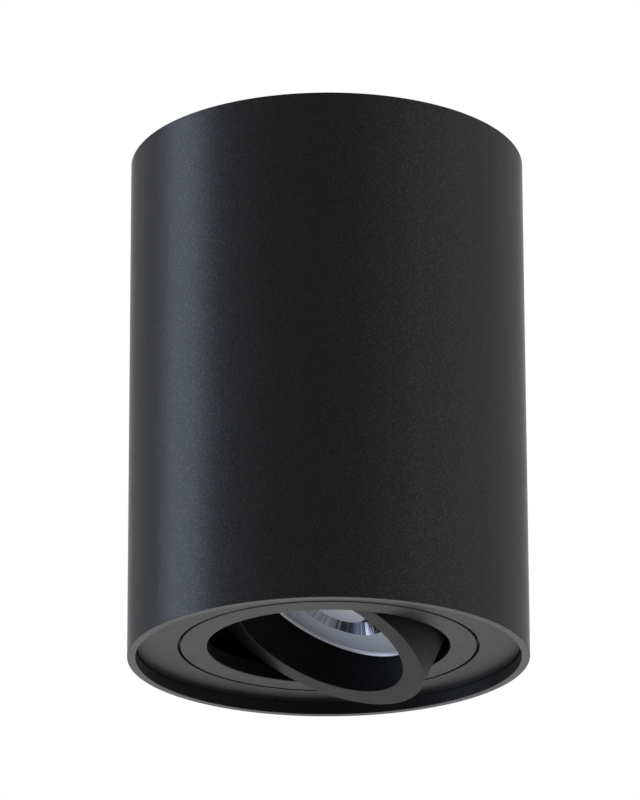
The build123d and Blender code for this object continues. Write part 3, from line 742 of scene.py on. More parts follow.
class Lathe:
    """Turns an outline about Z."""

    def __init__(self) -> None:
        """Builds the tree: the outline is carried round a circle."""
        inputs = {"Outline": bpy.types.Object, "Radius": float, "Sides": int, "Material": bpy.types.Material}
        self.recipe = Recipe("lathe", inputs)
        graph = self.recipe.graph
        profile = graph.add("GeometryNodeMeshToCurve", None, {"Mesh": self.recipe.part("Outline")})
        upright = graph.add("GeometryNodeSetCurveNormal", {"mode": "Z_UP"}, {"Curve": self.recipe.circle()})
        sockets = {"Curve": upright, "Profile Curve": profile}
        self.recipe.close(graph.add("GeometryNodeCurveToMesh", None, sockets))

    def turn(
        self, name: str, corners: Sequence[Corner], material: bpy.types.Material, sides: int, steps: int
    ) -> bpy.types.Object:
        """Turns one piece.

        Args:
            name: The piece's name.
            corners: Its closed outline.
            material: Its finish.
            sides: How many flats it has round the axis.
            steps: The straight pieces in each rounded corner.

        Returns:
            The piece, closed and facing outwards.
        """
        points = rounded(corners, steps)
        middle = sum(point.x for point in points) / len(points)
        count = len(points)
        mesh = bpy.data.meshes.new(f"{name}_outline")
        edges = [(index, (index + 1) % count) for index in range(count)]
        mesh.from_pydata([(point.x - middle, -point.y, 0.0) for point in points], edges, [])
        outline = add_object(f"{name}_outline", mesh)
        values = {"Outline": outline, "Radius": middle, "Sides": sides, "Material": material}
        piece = self.recipe.cook(name, values)
        drop_object(outline)
        tidy_shell(piece.data)
        shade(piece.data)
        return piece


class Drive(Enum):
    """The recess that a screw is turned by."""

    CROSS = "cross"
    SLOT = "slot"
    HEXAGON = "hexagon"


class Fasteners:
    """Sets copies of one turned part on points, each along its own direction."""

    def __init__(self, drive: Drive) -> None:
        """Builds the tree for one kind of recess."""
        inputs = {
            "Part": bpy.types.Object,
            "Drive Width": float,
            "Drive Reach": float,
            "Drive Depth": float,
            "Material": bpy.types.Material,
        }
        self.recipe = Recipe(f"fasteners_{drive.value}", inputs)
        graph = self.recipe.graph
        part = self.recipe.cut(self.recipe.part("Part"), self._cutter(drive))
        settings = {"data_type": "FLOAT_VECTOR"}
        direction = graph.add("GeometryNodeInputNamedAttribute", settings, {"Name": "direction"})
        turn = graph.add("FunctionNodeAlignRotationToVector", {"axis": "Z"}, {"Vector": direction})
        sockets = {"Points": self.recipe.given, "Instance": part, "Rotation": turn}
        self.recipe.close(graph.add("GeometryNodeInstanceOnPoints", None, sockets))

    def _cutter(self, drive: Drive) -> Shade:
        """The shape that is sunk into the head, whose top is at Z 0."""
        graph = self.recipe.graph
        width, reach, depth = (self.recipe[f"Drive {name}"] for name in ("Width", "Reach", "Depth"))
        if drive is Drive.HEXAGON:
            sockets = {"Vertices": 6, "Radius": width, "Depth": depth * 2.0}
            return graph.add("GeometryNodeMeshCylinder", None, sockets)
        shapes = []
        arms = [(reach, width), (width, reach)] if drive is Drive.CROSS else [(reach, width)]
        for x, y in arms:
            size = graph.add("ShaderNodeCombineXYZ", None, {0: x, 1: y, 2: depth * 2.0})
            shapes.append(graph.add("GeometryNodeMeshCube", None, {"Size": size}))
        return self.recipe.join(shapes)

    def place(
        self,
        name: str,
        part: bpy.types.Object,
        seats: Sequence[tuple[Vector, Vector]],
        material: bpy.types.Material,
        drive: tuple[float, float, float],
    ) -> bpy.types.Object:
        """Places the copies.

        Args:
            name: The new piece's name.
            part: The turned part, with its head's top at Z 0; it is removed.
            seats: The head's top and the way it faces, for each copy.
            material: The finish.
            drive: The recess's width, reach and depth.

        Returns:
            One piece with every copy.
        """
        mesh = bpy.data.meshes.new(f"{name}_seats")
        mesh.from_pydata([seat for seat, _ in seats], [], [])
        attribute = mesh.attributes.new("direction", "FLOAT_VECTOR", "POINT")
        attribute.data.foreach_set("vector", [value for _, way in seats for value in way])
        width, reach, depth = drive
        values = {"Part": part, "Drive Width": width, "Drive Reach": reach, "Drive Depth": depth}
        piece = self.recipe.cook(name, {**values, "Material": material}, mesh)
        drop_object(part)
        shade(piece.data)
        return piece


class LeadMaker:
    """Makes round leads along routes, with along and around attributes for their finish."""

    def __init__(self) -> None:
        """Builds the tree: a circle is carried along the route."""
        inputs = {"Route": bpy.types.Object, "Radius": float, "Sides": int, "Material": bpy.types.Material}
        self.recipe = Recipe("lead", inputs)
        graph = self.recipe.graph
        length = graph.add("GeometryNodeSplineParameter", out="Length")
        marked = self._store(self.recipe.part("Route"), "along", length)
        share = graph.add("GeometryNodeSplineParameter", out="Factor")
        ring = self._store(self.recipe.circle(), "around", share)
        sockets = {"Curve": marked, "Profile Curve": ring, "Fill Caps": True}
        self.recipe.close(graph.add("GeometryNodeCurveToMesh", None, sockets))

    def _store(self, geometry: Shade, name: str, value: Shade) -> Shade:
        """Keeps a value on each point under a name."""
        settings = {"data_type": "FLOAT", "domain": "POINT"}
        sockets = {"Geometry": geometry, "Name": name, "Value": value}
        return self.recipe.graph.add("GeometryNodeStoreNamedAttribute", settings, sockets)

    def lay(
        self, name: str, route: Sequence[Point], radius: float, material: bpy.types.Material, sides: int = 20
    ) -> bpy.types.Object:
        """Lays one lead on a smooth line through its route.

        Args:
            name: The lead's name.
            route: The points that the line follows.
            radius: The lead's radius.
            material: Its finish.
            sides: Its flats.

        Returns:
            The lead.
        """
        curve = bpy.data.curves.new(f"{name}_route", "CURVE")
        curve.dimensions = "3D"
        curve.resolution_u = 24
        spline = curve.splines.new("NURBS")
        spline.points.add(len(route) - 1)
        for point, place in zip(spline.points, route):
            point.co = (*place, 1.0)
        spline.order_u = 3
        spline.use_endpoint_u = True
        line = add_object(f"{name}_route", curve)
        values = {"Route": line, "Radius": radius, "Sides": sides, "Material": material}
        piece = self.recipe.cook(name, values)
        drop_object(line)
        tidy_shell(piece.data)
        shade(piece.data)
        return piece


def joined(name: str, pieces: Sequence[bpy.types.Object]) -> bpy.types.Object:
    """Several pieces as one, in the first one's finish order."""
    shell = bmesh.new()
    materials: list[bpy.types.Material] = []
    for piece in pieces:
        start = len(shell.faces)
        shell.from_mesh(piece.data)
        shell.faces.ensure_lookup_table()
        for material in piece.data.materials:
            if material not in materials:
                materials.append(material)
        for face in shell.faces[start:]:
            face.material_index = materials.index(piece.data.materials[face.material_index])
        drop_object(piece)
    mesh = bpy.data.meshes.new(name)
    shell.to_mesh(mesh)
    shell.free()
    for material in materials:
        mesh.materials.append(material)
    shade(mesh)
    return add_object(name, mesh)


def softened(name: str, node: str, width: float, material: bpy.types.Material) -> bpy.types.Object:
    """A copy of a CAD node with its sharp edges rounded.

    Args:
        name: The new piece's name.
        node: The CAD node.
        width: How wide each rounding is.
        material: The finish.

    Returns:
        The piece, which stands for the node.
    """
    mesh = frame["nodes"][node].data.copy()
    mesh.materials.clear()
    mesh.materials.append(material)
    if "custom_normal" in mesh.attributes:
        mesh.attributes.remove(mesh.attributes["custom_normal"])
    shell = bmesh.new()
    shell.from_mesh(mesh)
    bmesh.ops.remove_doubles(shell, verts=shell.verts, dist=WELD)
    bmesh.ops.dissolve_limit(shell, angle_limit=FLAT_ANGLE, verts=shell.verts, edges=shell.edges)
    for face in shell.faces:
        face.material_index = 0
    shell.to_mesh(mesh)
    shell.free()
    shade(mesh)
    source = add_object(f"{name}_source", mesh)
    bevel = source.modifiers.new("rounding", "BEVEL")
    bevel.width = width
    bevel.segments = 2
    bevel.limit_method = "ANGLE"
    bevel.angle_limit = BEVEL_ANGLE
    bevel.harden_normals = True
    result = evaluated(source)
    drop_object(source)
    return add_object(name, result)


# The light's own places -----------------------------------------------------------------------


class CupFrame:
    """The tilting cup's own axes: its origin on the pivot, and its axis through the lamp."""

    def __init__(self) -> None:
        """Works the axes out from the tilt joint, which stands upright at the middle of its range."""
        stated = next(j for j in frame["record"]["behaviour"]["joints"] if j["name"] == "cup_tilt")
        pivot = Vector(stated["pos_m"])
        hinge = Vector(stated["axis"]).normalized()
        low, high = stated["range_deg"]
        upright = Matrix.Rotation(radians(-(low + high) / 2), 3, hinge)
        lamp = upright @ Vector((0.0, 0.0, 1.0))
        across = hinge.cross(lamp)
        self.matrix = Matrix.Translation(pivot) @ Matrix((across, hinge, lamp)).transposed().to_4x4()

    def box(self, node: str) -> tuple[Vector, Vector]:
        """A node's lowest and highest corners in the cup's own axes."""
        back = self.matrix.inverted()
        return extent(back @ vertex.co for vertex in frame["nodes"][node].data.vertices)

    def settle(self, piece: bpy.types.Object) -> bpy.types.Object:
        """Moves a piece's mesh from the cup's own axes to its place."""
        piece.data.transform(self.matrix)
        return piece


def solid_boxes(node: str) -> list[tuple[Vector, Vector]]:
    """The lowest and highest corners of each separate solid of a CAD node."""
    shell = bmesh.new()
    shell.from_mesh(frame["nodes"][node].data)
    bmesh.ops.remove_doubles(shell, verts=shell.verts, dist=WELD)
    left = set(shell.verts)
    boxes = []
    while left:
        reached = [left.pop()]
        group = list(reached)
        while reached:
            for edge in reached.pop().link_edges:
                for vertex in edge.verts:
                    if vertex in left:
                        left.remove(vertex)
                        reached.append(vertex)
                        group.append(vertex)
        boxes.append(extent(vertex.co for vertex in group))
    shell.free()
    return boxes


@dataclass
class Kit:
    """The makers and finishes that every sub-assembly shares."""

    finishes: Finishes
    lathe: Lathe
    leads: LeadMaker
    cup: CupFrame
    fasteners: dict[Drive, Fasteners] = field(default_factory=dict)

    def screws(self, drive: Drive) -> Fasteners:
        """The maker of one kind of screw, built when first needed."""
        if drive not in self.fasteners:
            self.fasteners[drive] = Fasteners(drive)
        return self.fasteners[drive]

    def settle(self, piece: bpy.types.Object, body: str, slot: str, *nodes: str) -> bpy.types.Object:
        """Puts a finished piece on its body and hides the nodes that it stands for."""
        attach(piece, body)
        if nodes:
            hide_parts(*nodes)
        LOG.info("%s rides on %s with %d faces", piece.name, body, len(piece.data.polygons))
        return piece

    def fix(
        self,
        node: str,
        body: str,
        drive: Drive,
        blank: bpy.types.Object,
        seats: Sequence[tuple[Vector, Vector]],
        recess: tuple[float, float, float],
    ) -> None:
        """Sets the screws of a CAD node in their seats.

        Args:
            node: The CAD node that they stand for.
            body: The body that they ride on.
            drive: The kind of recess.
            blank: One screw without it, its top at Z 0.
            seats: The top of each screw and the way it faces.
            recess: The recess's width, reach and depth.
        """
        steel = self.finishes["screw_steel"]
        screws = self.screws(drive).place(f"{node}_plated", blank, seats, steel, recess)
        self.settle(screws, body, "screw_steel", node)

    def paint_bore_shade(self, piece: bpy.types.Object, bore: float) -> bpy.types.Object:
        """Gives the wall of a turned piece's bore a darker coat, painted shade for the recess."""
        mesh = piece.data
        mesh.materials.append(self.finishes["bore_painted_shade"])
        for face in mesh.polygons:
            if hypot(face.center.x, face.center.y) < bore + 0.02 * MM:
                face.material_index = 1
        return piece

    def paint(self, slots: dict[str, str]) -> None:
        """Gives CAD nodes that stay as they are their finish."""
        for node, slot in slots.items():
            for holder in frame["nodes"][node].material_slots:
                holder.material = self.finishes[slot]
            LOG.info("%s keeps its shape, finished in %s", node, slot)


# Sub-assemblies --------------------------------------------------------------------------------


@dataclass
class Housing:
    """The tube that hangs from the ceiling, with the holes of the set screws that hold it."""

    kit: Kit
    wall: float = 2.0 * MM
    edge: float = 0.15 * MM
    groove_depth: float = 0.5 * MM
    groove_height: float = 4.0 * MM
    groove_middle: float = -111.0 * MM
    clearance: float = 0.1 * MM
    sides: int = 240

    def build(self) -> None:
        """Builds the tube and cuts the holes of the set screws."""
        low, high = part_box("housing_tube")
        outer = high.x
        bore = outer - self.wall
        groove = bore + self.groove_depth
        groove_low = self.groove_middle - self.groove_height / 2
        groove_high = self.groove_middle + self.groove_height / 2
        outline = [
            Corner(bore, low.z, self.edge),
            Corner(outer, low.z, self.edge),
            Corner(outer, high.z, self.edge),
            Corner(bore, high.z, self.edge),
            Corner(bore, groove_high),
            Corner(groove, groove_high),
            Corner(groove, groove_low),
            Corner(bore, groove_low),
        ]
        coat = self.kit.finishes["housing_powder_coat"]
        tube = self.kit.lathe.turn("housing_tube_coated", outline, coat, sides=self.sides, steps=5)
        self._drill(tube)
        self.kit.settle(tube, "root", "housing_powder_coat", "housing_tube")

    def _drill(self, tube: bpy.types.Object) -> None:
        """Cuts the two holes of the side set screws."""
        low, high = solid_boxes("side_screws")[0]
        middle = (low + high) / 2
        radius = (high.z - low.z) / 2 + self.clearance
        cutter_mesh = bpy.data.meshes.new("drill")
        shell = bmesh.new()
        turn = Matrix.Translation((0, 0, middle.z)) @ Matrix.Rotation(pi / 2, 4, "Y")
        size = {"radius1": radius, "radius2": radius, "depth": 4 * abs(middle.x)}
        bmesh.ops.create_cone(shell, cap_ends=True, segments=48, matrix=turn, **size)
        shell.to_mesh(cutter_mesh)
        shell.free()
        cutter = add_object("drill", cutter_mesh)
        boolean = tube.modifiers.new("holes", "BOOLEAN")
        boolean.object = cutter
        boolean.operation = "DIFFERENCE"
        boolean.solver = "EXACT"
        mesh = evaluated(tube)
        tube.modifiers.remove(boolean)
        tube.data = mesh
        drop_object(cutter)
        shade(tube.data)


@dataclass
class FacePlate:
    """The recessed plate with its stop post."""

    kit: Kit
    slit_outer: float = 36.0 * MM
    lip: float = 34.2 * MM
    lip_thickness: float = 1.1 * MM
    thickness: float = 2.6 * MM
    edge: float = 0.3 * MM
    post_radius: float = 1.1 * MM
    post_pitch: float = 38.4 * MM
    heading: float = radians(23.3)

    def build(self) -> None:
        """Builds the plate and its stop post."""
        low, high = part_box("face_plate")
        outer = high.x
        back = low.z + self.thickness
        lip_front = back - self.lip_thickness
        outline = [
            Corner(self.slit_outer, low.z, self.edge / 2),
            Corner(outer, low.z, self.edge),
            Corner(outer, back, self.edge / 2),
            Corner(self.lip, back, self.edge / 3),
            Corner(self.lip, lip_front, self.edge / 3),
            Corner(self.slit_outer, lip_front),
        ]
        coat = self.kit.finishes["plate_powder_coat"]
        plate = self.kit.lathe.turn("face_plate_coated", outline, coat, sides=240, steps=4)
        post_outline = [
            Corner(0.0, back - 0.3 * MM),
            Corner(self.post_radius, back - 0.3 * MM),
            Corner(self.post_radius, high.z, 0.2 * MM),
            Corner(0.0, high.z),
        ]
        post = self.kit.lathe.turn("stop_post", post_outline, coat, sides=48, steps=4)
        way = Vector((cos(self.heading), sin(self.heading), 0.0)) * self.post_pitch
        post.data.transform(Matrix.Translation(way))
        plate = joined("face_plate_coated", [plate, post])
        self.kit.settle(plate, "root", "plate_powder_coat", "face_plate")


@dataclass
class SwivelRing:
    """The ring that turns in the face plate."""

    kit: Kit
    opening: float = 29.0 * MM
    spigot: float = 34.15 * MM
    flange: float = 1.4 * MM
    edge: float = 0.25 * MM

    def build(self) -> None:
        """Builds the ring."""
        low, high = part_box("swivel_ring")
        outer = high.x
        outline = [
            Corner(self.opening, low.z, self.edge),
            Corner(outer, low.z, self.edge),
            Corner(outer, low.z + self.flange, self.edge / 2),
            Corner(self.spigot, low.z + self.flange),
            Corner(self.spigot, high.z, self.edge / 2),
            Corner(self.opening, high.z, self.edge / 2),
        ]
        coat = self.kit.finishes["plate_powder_coat"]
        ring = self.kit.lathe.turn("swivel_ring_coated", outline, coat, sides=240, steps=4)
        # The opening's wall gets painted shade.
        self.kit.settle(self.kit.paint_bore_shade(ring, self.opening), "swivel", "plate_powder_coat", "swivel_ring")


@dataclass
class TiltCup:
    """The thick walled cup that holds the lamp."""

    kit: Kit
    outer: float = 27.2 * MM
    bore: float = 21.8 * MM
    seat: float = 25.3 * MM
    seat_height: float = 4.44 * MM
    edge: float = 0.2 * MM
    boss_radius: float = 3.3 * MM
    boss_reach: float = 28.6 * MM
    thread: float = 1.52 * MM

    def build(self) -> None:
        """Builds the cup with its two bosses."""
        low, high = self.kit.cup.box("tilt_cup")
        outline = [
            Corner(self.bore, low.z, self.edge),
            Corner(self.outer, low.z, self.edge),
            Corner(self.outer, high.z, self.edge),
            Corner(self.seat, high.z, self.edge / 2),
            Corner(self.seat, self.seat_height),
            Corner(self.bore, self.seat_height),
        ]
        coat = self.kit.finishes["cup_powder_coat"]
        cup = self.kit.lathe.turn("tilt_cup_coated", outline, coat, sides=216, steps=6)
        # The bore's wall gets painted shade.
        pieces = [self.kit.paint_bore_shade(cup, self.bore)]
        for side in (-1, 1):
            boss_outline = [
                Corner(self.thread, self.outer - 1.5 * MM),
                Corner(self.boss_radius, self.outer - 1.5 * MM),
                Corner(self.boss_radius, self.boss_reach, 0.2 * MM),
                Corner(self.thread, self.boss_reach, 0.1 * MM),
            ]
            boss = self.kit.lathe.turn("pivot_boss", boss_outline, coat, sides=64, steps=4)
            boss.data.transform(Matrix.Rotation(-side * pi / 2, 4, "X"))
            pieces.append(boss)
        cup = self.kit.cup.settle(joined("tilt_cup_coated", pieces))
        self.kit.settle(cup, "cup", "cup_powder_coat", "tilt_cup")


class Collimators:
    """Sets a row of collimators behind a lens plate."""

    def __init__(self) -> None:
        """Builds the tree with each collimator on its pitch circle."""
        inputs = {
            "Plate": bpy.types.Object,
            "Collimator": bpy.types.Object,
            "Count": int,
            "Pitch Radius": float,
            "Turn": float,
            "Material": bpy.types.Material,
        }
        self.recipe = Recipe("collimators", inputs)
        graph = self.recipe.graph
        count, pitch = self.recipe["Count"], self.recipe["Pitch Radius"]
        points = graph.add("GeometryNodePoints", None, {"Count": count})
        index = graph.add("GeometryNodeInputIndex")
        angle = index * (2 * pi) / count + self.recipe["Turn"]
        sockets = {0: angle.maths("COSINE") * pitch, 1: angle.maths("SINE") * pitch}
        place = graph.add("ShaderNodeCombineXYZ", None, sockets)
        seats = graph.add("GeometryNodeSetPosition", None, {"Geometry": points, "Position": place})
        sockets = {"Points": seats, "Instance": self.recipe.part("Collimator")}
        row = graph.add("GeometryNodeInstanceOnPoints", None, sockets)
        self.recipe.close(self.recipe.join([self.recipe.part("Plate"), row]))


@dataclass
class Lamp:
    """The twist-lock reflector lamp: lens, shell, boards, base and pins."""

    kit: Kit
    plan: LensPlan = LensPlan()
    radius: float = 23.6 * MM
    thickness: float = 2.8 * MM
    ridge: float = 20.5 * MM
    ridge_width: float = 0.4 * MM
    ridge_depth: float = 0.12 * MM
    bead: float = 21.35 * MM
    bead_height: float = 0.3 * MM

    def build(self) -> None:
        """Builds the lens and dresses the rest of the lamp."""
        self._lens()
        kept = {
            "led_board": "board_white",
            "led_chips": "led_phosphor",
            "driver_board": "board_green",
            "driver_parts": "driver_parts",
            "lamp_base": "lamp_base_plastic",
            "lamp_pins": "pin_nickel",
            "lamp_shell": "lamp_plastic",
        }
        self.kit.paint(kept)

    def _lens(self) -> None:
        """The lens: a plate with a rim bead, a fine groove and a deep ring, and the collimators behind it."""
        low, high = self.kit.cup.box("lamp_lens")
        front, plate_back, back = low.z, low.z + self.thickness, high.z
        clear = self.kit.finishes["lens_clear"]
        half = self.ridge_width / 2
        bead = 0.4 * MM
        outline = [
            Corner(0.0, front),
            Corner(self.plan.disc, front, 0.12 * MM),
            Corner(self.plan.disc, front + self.plan.depth),
            Corner(self.plan.narrow, front + self.plan.depth),
            Corner(self.plan.ring, front, 0.12 * MM),
            Corner(self.ridge - half, front, 0.05 * MM),
            Corner(self.ridge, front + self.ridge_depth, 0.05 * MM),
            Corner(self.ridge + half, front, 0.05 * MM),
            Corner(self.bead - bead, front),
            Corner(self.bead - bead / 3, front - self.bead_height, 0.12 * MM),
            Corner(self.bead + bead / 3, front - self.bead_height, 0.12 * MM),
            Corner(self.bead + bead, front),
            Corner(self.radius, front),
            Corner(self.radius, plate_back),
            Corner(0.0, plate_back),
        ]
        cone = [
            Corner(0.0, plate_back - 0.2 * MM),
            Corner(self.plan.collimator_front, plate_back - 0.2 * MM),
            Corner(self.plan.collimator_back, back),
            Corner(0.0, back),
        ]
        values = {
            "Plate": self.kit.lathe.turn("lens_plate", outline, clear, sides=192, steps=4),
            "Collimator": self.kit.lathe.turn("collimator", cone, clear, sides=64, steps=4),
            "Count": self.plan.count,
            "Pitch Radius": self.plan.pitch,
            "Turn": self.plan.turn,
            "Material": clear,
        }
        lens = Collimators().recipe.cook("lamp_lens_moulded", values)
        for helper in ("Plate", "Collimator"):
            drop_object(values[helper])
        shade(lens.data)
        self.kit.cup.settle(lens)
        self.kit.settle(lens, "cup", "lens_clear", "lamp_lens")


@dataclass(frozen=True)
class PanHead:
    """Cross recessed pan head screws, one at every solid of their CAD node, with their heads up or down."""

    node: str
    body: str
    head_radius: float
    head_height: float
    shank_radius: float
    way: int = 1

    def blank(self, kit: Kit, length: float) -> bpy.types.Object:
        """One screw without its recess.

        Args:
            kit: The shared makers.
            length: The whole length.

        Returns:
            The blank, its head's top at Z 0.
        """
        radius, height, shank = self.head_radius, self.head_height, self.shank_radius
        outline = [
            Corner(0.0, 0.0),
            Corner(radius * 0.72, -height * 0.05, radius * 0.2),
            Corner(radius, -height * 0.45, radius * 0.15),
            Corner(radius, -height),
            Corner(shank, -height),
            Corner(shank, -length, shank * 0.3),
            Corner(0.0, -length),
        ]
        return kit.lathe.turn("screw_blank", outline, kit.finishes["screw_steel"], sides=40, steps=3)


def grub_blank(
    kit: Kit, radius: float, length: float, edges: tuple[float, float], sides: int
) -> bpy.types.Object:
    """A headless screw without its recess.

    Args:
        kit: The shared makers.
        radius: Its radius.
        length: Its length.
        edges: The roundings of its top and its tip.
        sides: Its flats.

    Returns:
        The blank, its top at Z 0.
    """
    top, tip = edges
    outline = [Corner(0.0, 0.0), Corner(radius, 0.0, top), Corner(radius, -length, tip), Corner(0.0, -length)]
    return kit.lathe.turn("screw_blank", outline, kit.finishes["screw_steel"], sides=sides, steps=3)


def upright_seat(low: Vector, high: Vector, way: int) -> tuple[Vector, Vector]:
    """The seat of an upright screw in its box, which faces up for 1 and down for -1."""
    middle = (low + high) / 2
    return Vector((middle.x, middle.y, high.z if way > 0 else low.z)), Vector((0.0, 0.0, way))


@dataclass
class Pivots:
    """What carries the cup: retaining ring, pivot screws, washers and the lamp's wire clip."""

    kit: Kit
    screw: PanHead = PanHead("pivot_screws", "cup", 2.8 * MM, 1.6 * MM, 1.5 * MM)
    length: float = 8 * MM
    recess: tuple[float, float, float] = (0.5 * MM, 3.2 * MM, 0.8 * MM)
    edge: float = 0.15 * MM

    def build(self) -> None:
        """Builds and dresses the pieces."""
        coat = self.kit.finishes["plate_powder_coat"]
        ring = softened("swivel_retainer_pressed", "swivel_retainer", self.edge, coat)
        self.kit.settle(ring, "swivel", "plate_powder_coat", "swivel_retainer")
        self.kit.paint({"friction_washers": "washer_nylon", "lamp_clip": "spring_steel"})
        self._pivot_screws()

    def _pivot_screws(self) -> None:
        """The two screws that the cup tilts on."""
        axes = self.kit.cup.matrix
        hinge = (axes.to_3x3() @ Vector((0.0, 1.0, 0.0))).normalized()
        seats = []
        for corner in self.kit.cup.box("pivot_screws"):
            seats.append((axes @ Vector((0.0, corner.y, 0.0)), hinge * (1 if corner.y > 0 else -1)))
        blank = self.screw.blank(self.kit, self.length)
        self.kit.fix(self.screw.node, self.screw.body, Drive.CROSS, blank, seats, self.recess)


@dataclass
class CeilingEnd:
    """Bracket, terminal block, earth point and their screws."""

    kit: Kit
    edge: float = 0.2 * MM
    socket: tuple[float, float, float] = (1.15 * MM, 0.0, 2.5 * MM)
    slot: tuple[float, float, float] = (0.6 * MM, 4 * MM, 0.7 * MM)
    pan_heads: tuple[PanHead, ...] = (
        PanHead("clip_screws", "root", 1.9 * MM, 1.3 * MM, 1.0 * MM),
        PanHead("retainer_screws", "swivel", 1.9 * MM, 1.3 * MM, 1.0 * MM),
        PanHead("earth_screw", "root", 3.3 * MM, 2.0 * MM, 1.97 * MM, -1),
        PanHead("block_screw", "root", 2.8 * MM, 1.8 * MM, 1.5 * MM, -1),
    )

    def build(self) -> None:
        """Dresses the pieces of the ceiling end."""
        steel = self.kit.finishes["bracket_steel"]
        bracket = softened("mounting_bracket_folded", "mounting_bracket", self.edge, steel)
        self.kit.settle(bracket, "root", "bracket_steel", "mounting_bracket")
        kept = {
            "terminal_block": "block_nylon",
            "terminal_tubes": "brass",
            "earth_lug": "lug_tin",
            "earth_washer": "screw_steel",
            "plate_clips": "spring_steel",
        }
        self.kit.paint(kept)
        self._set_screws()
        self._clamp_screws()
        for kind in self.pan_heads:
            self._pan_screws(kind)

    def _pan_screws(self, kind: PanHead) -> None:
        """Upright pan head screws, with a recess in proportion to their heads."""
        boxes = solid_boxes(kind.node)
        low, high = boxes[0]
        seats = [upright_seat(*box, kind.way) for box in boxes]
        recess = (kind.head_radius * 0.18, kind.head_radius * 1.25, kind.head_height * 0.5)
        self.kit.fix(kind.node, kind.body, Drive.CROSS, kind.blank(self.kit, high.z - low.z), seats, recess)

    def _set_screws(self) -> None:
        """The two hexagon socket set screws of the housing."""
        boxes = solid_boxes("side_screws")
        low, high = boxes[0]
        blank = grub_blank(self.kit, (high.z - low.z) / 2, high.x - low.x, (0.25 * MM, 0.5 * MM), 48)
        seats = []
        for low, high in boxes:
            side = 1 if low.x > 0 else -1
            reach = high.x if side > 0 else low.x
            seats.append((Vector((reach, 0.0, (low.z + high.z) / 2)), Vector((side, 0.0, 0.0))))
        self.kit.fix("side_screws", "root", Drive.HEXAGON, blank, seats, self.socket)

    def _clamp_screws(self) -> None:
        """The slotted clamp screws of the terminal block."""
        boxes = solid_boxes("terminal_screws")
        low, high = boxes[0]
        blank = grub_blank(self.kit, (high.x - low.x) / 2, high.z - low.z, (0.15 * MM, 0.3 * MM), 40)
        seats = [upright_seat(*box, -1) for box in boxes]
        self.kit.fix("terminal_screws", "root", Drive.SLOT, blank, seats, self.slot)


@dataclass
class Wiring:
    """The earth wire, the two lamp leads and the glass sleeve that the leads run in."""

    kit: Kit
    wire_radius: float = 1.1 * MM
    sleeve_radius: float = 2.0 * MM
    upper_radius: float = 2.4 * MM

    def build(self) -> None:
        """Lays every lead on the route that the solids take."""
        green = self.kit.finishes["earth_insulation"]
        earth = self._lay("earth_wire_laid", EARTH_ROUTE, self.wire_radius, green)
        self.kit.settle(earth, "root", "earth_insulation", "earth_wire")
        grey = self.kit.finishes["lead_insulation"]
        pair = [self._lay(name, route, self.wire_radius, grey) for name, route in LEAD_ROUTES.items()]
        self.kit.settle(joined("lamp_leads_laid", pair), "root", "lead_insulation", "lamp_leads")
        braid = self.kit.finishes["sleeve_glass_braid"]
        collar = self._lay("lead_sleeve_collar", COLLAR_ROUTE, self.upper_radius, braid)
        self.kit.settle(collar, "root", "sleeve_glass_braid", "lead_sleeve_upper")
        sleeve = self._lay("lead_sleeve_braided", SLEEVE_ROUTE, self.sleeve_radius, braid, 32)
        start, end = (Vector(SLEEVE_ROUTE[index]) * MM for index in (0, -1))
        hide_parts("lead_sleeve_lower")
        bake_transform(sleeve)
        LOG.info("%s bends between swivel and cup", sleeve.name)

    def _lay(
        self, name: str, route: Sequence[Point], radius: float, material: bpy.types.Material, sides: int = 20
    ) -> bpy.types.Object:
        """One lead on a route that is given in millimetres."""
        points = [tuple(value * MM for value in point) for point in route]
        return self.kit.leads.lay(name, points, radius, material, sides)


EARTH_ROUTE: tuple[Point, ...] = ((11.5, 9, -7), (3.5, 9, -7), (-1.9, 9, -3.1), (-9.4, 9, -3.1))
LEAD_ROUTES: dict[str, tuple[Point, ...]] = {
    "neutral_lead": ((11.5, -9, -7), (3.5, -9, -7), (0, -1.15, -12.5), (0, -1.15, -19)),
    "live_lead": ((11.5, 0, -7), (5, 0, -7), (0, 1.15, -13), (0, 1.15, -19)),
}
COLLAR_ROUTE: tuple[Point, ...] = ((0, 0, -21), (0, 0, -20), (0, 0, -19))
SLEEVE_ROUTE: tuple[Point, ...] = (
    (0, 0, -21),
    (0, 0, -31),
    (17.86, -1.02, -37),
    (31.87, 13.73, -44.25),
    (26.06, 11.23, -57.29),
)


@dataclass
class Lampholder:
    """The ceramic holder behind the lamp."""

    kit: Kit
    edge: float = 0.25 * MM

    def build(self) -> None:
        """Rounds the ceramic pieces and dresses the metal ones."""
        ceramic = self.kit.finishes["steatite"]
        for node in ("lampholder_body", "lampholder_cover"):
            piece = softened(f"{node}_pressed", node, self.edge, ceramic)
            self.kit.settle(piece, "cup", "steatite", node)
        self.kit.paint({"lampholder_contacts": "brass", "lampholder_rivets": "pin_nickel"})


# Studio ----------------------------------------------------------------------------------------


@dataclass(frozen=True)
class Softbox:
    """A rectangular lamp that faces the light's middle."""

    name: str
    turn: float
    rise: float
    distance: float
    width: float
    height: float
    radiance: float
    colour: Colour

    def hang(self, aim: Vector) -> None:
        """Places the lamp on its bearing, turn degrees from the viewer towards the left."""
        away = Vector(
            (
                -sin(radians(self.turn)) * cos(radians(self.rise)),
                -cos(radians(self.turn)) * cos(radians(self.rise)),
                sin(radians(self.rise)),
            )
        )
        lamp = bpy.data.lights.new(self.name, "AREA")
        lamp.shape = "RECTANGLE"
        lamp.size = self.width
        lamp.size_y = self.height
        lamp.energy = self.radiance * pi * self.width * self.height
        lamp.color = self.colour
        holder = add_object(self.name, lamp)
        holder.location = aim + away * self.distance
        holder.rotation_euler = away.to_track_quat("Z", "Y").to_euler()


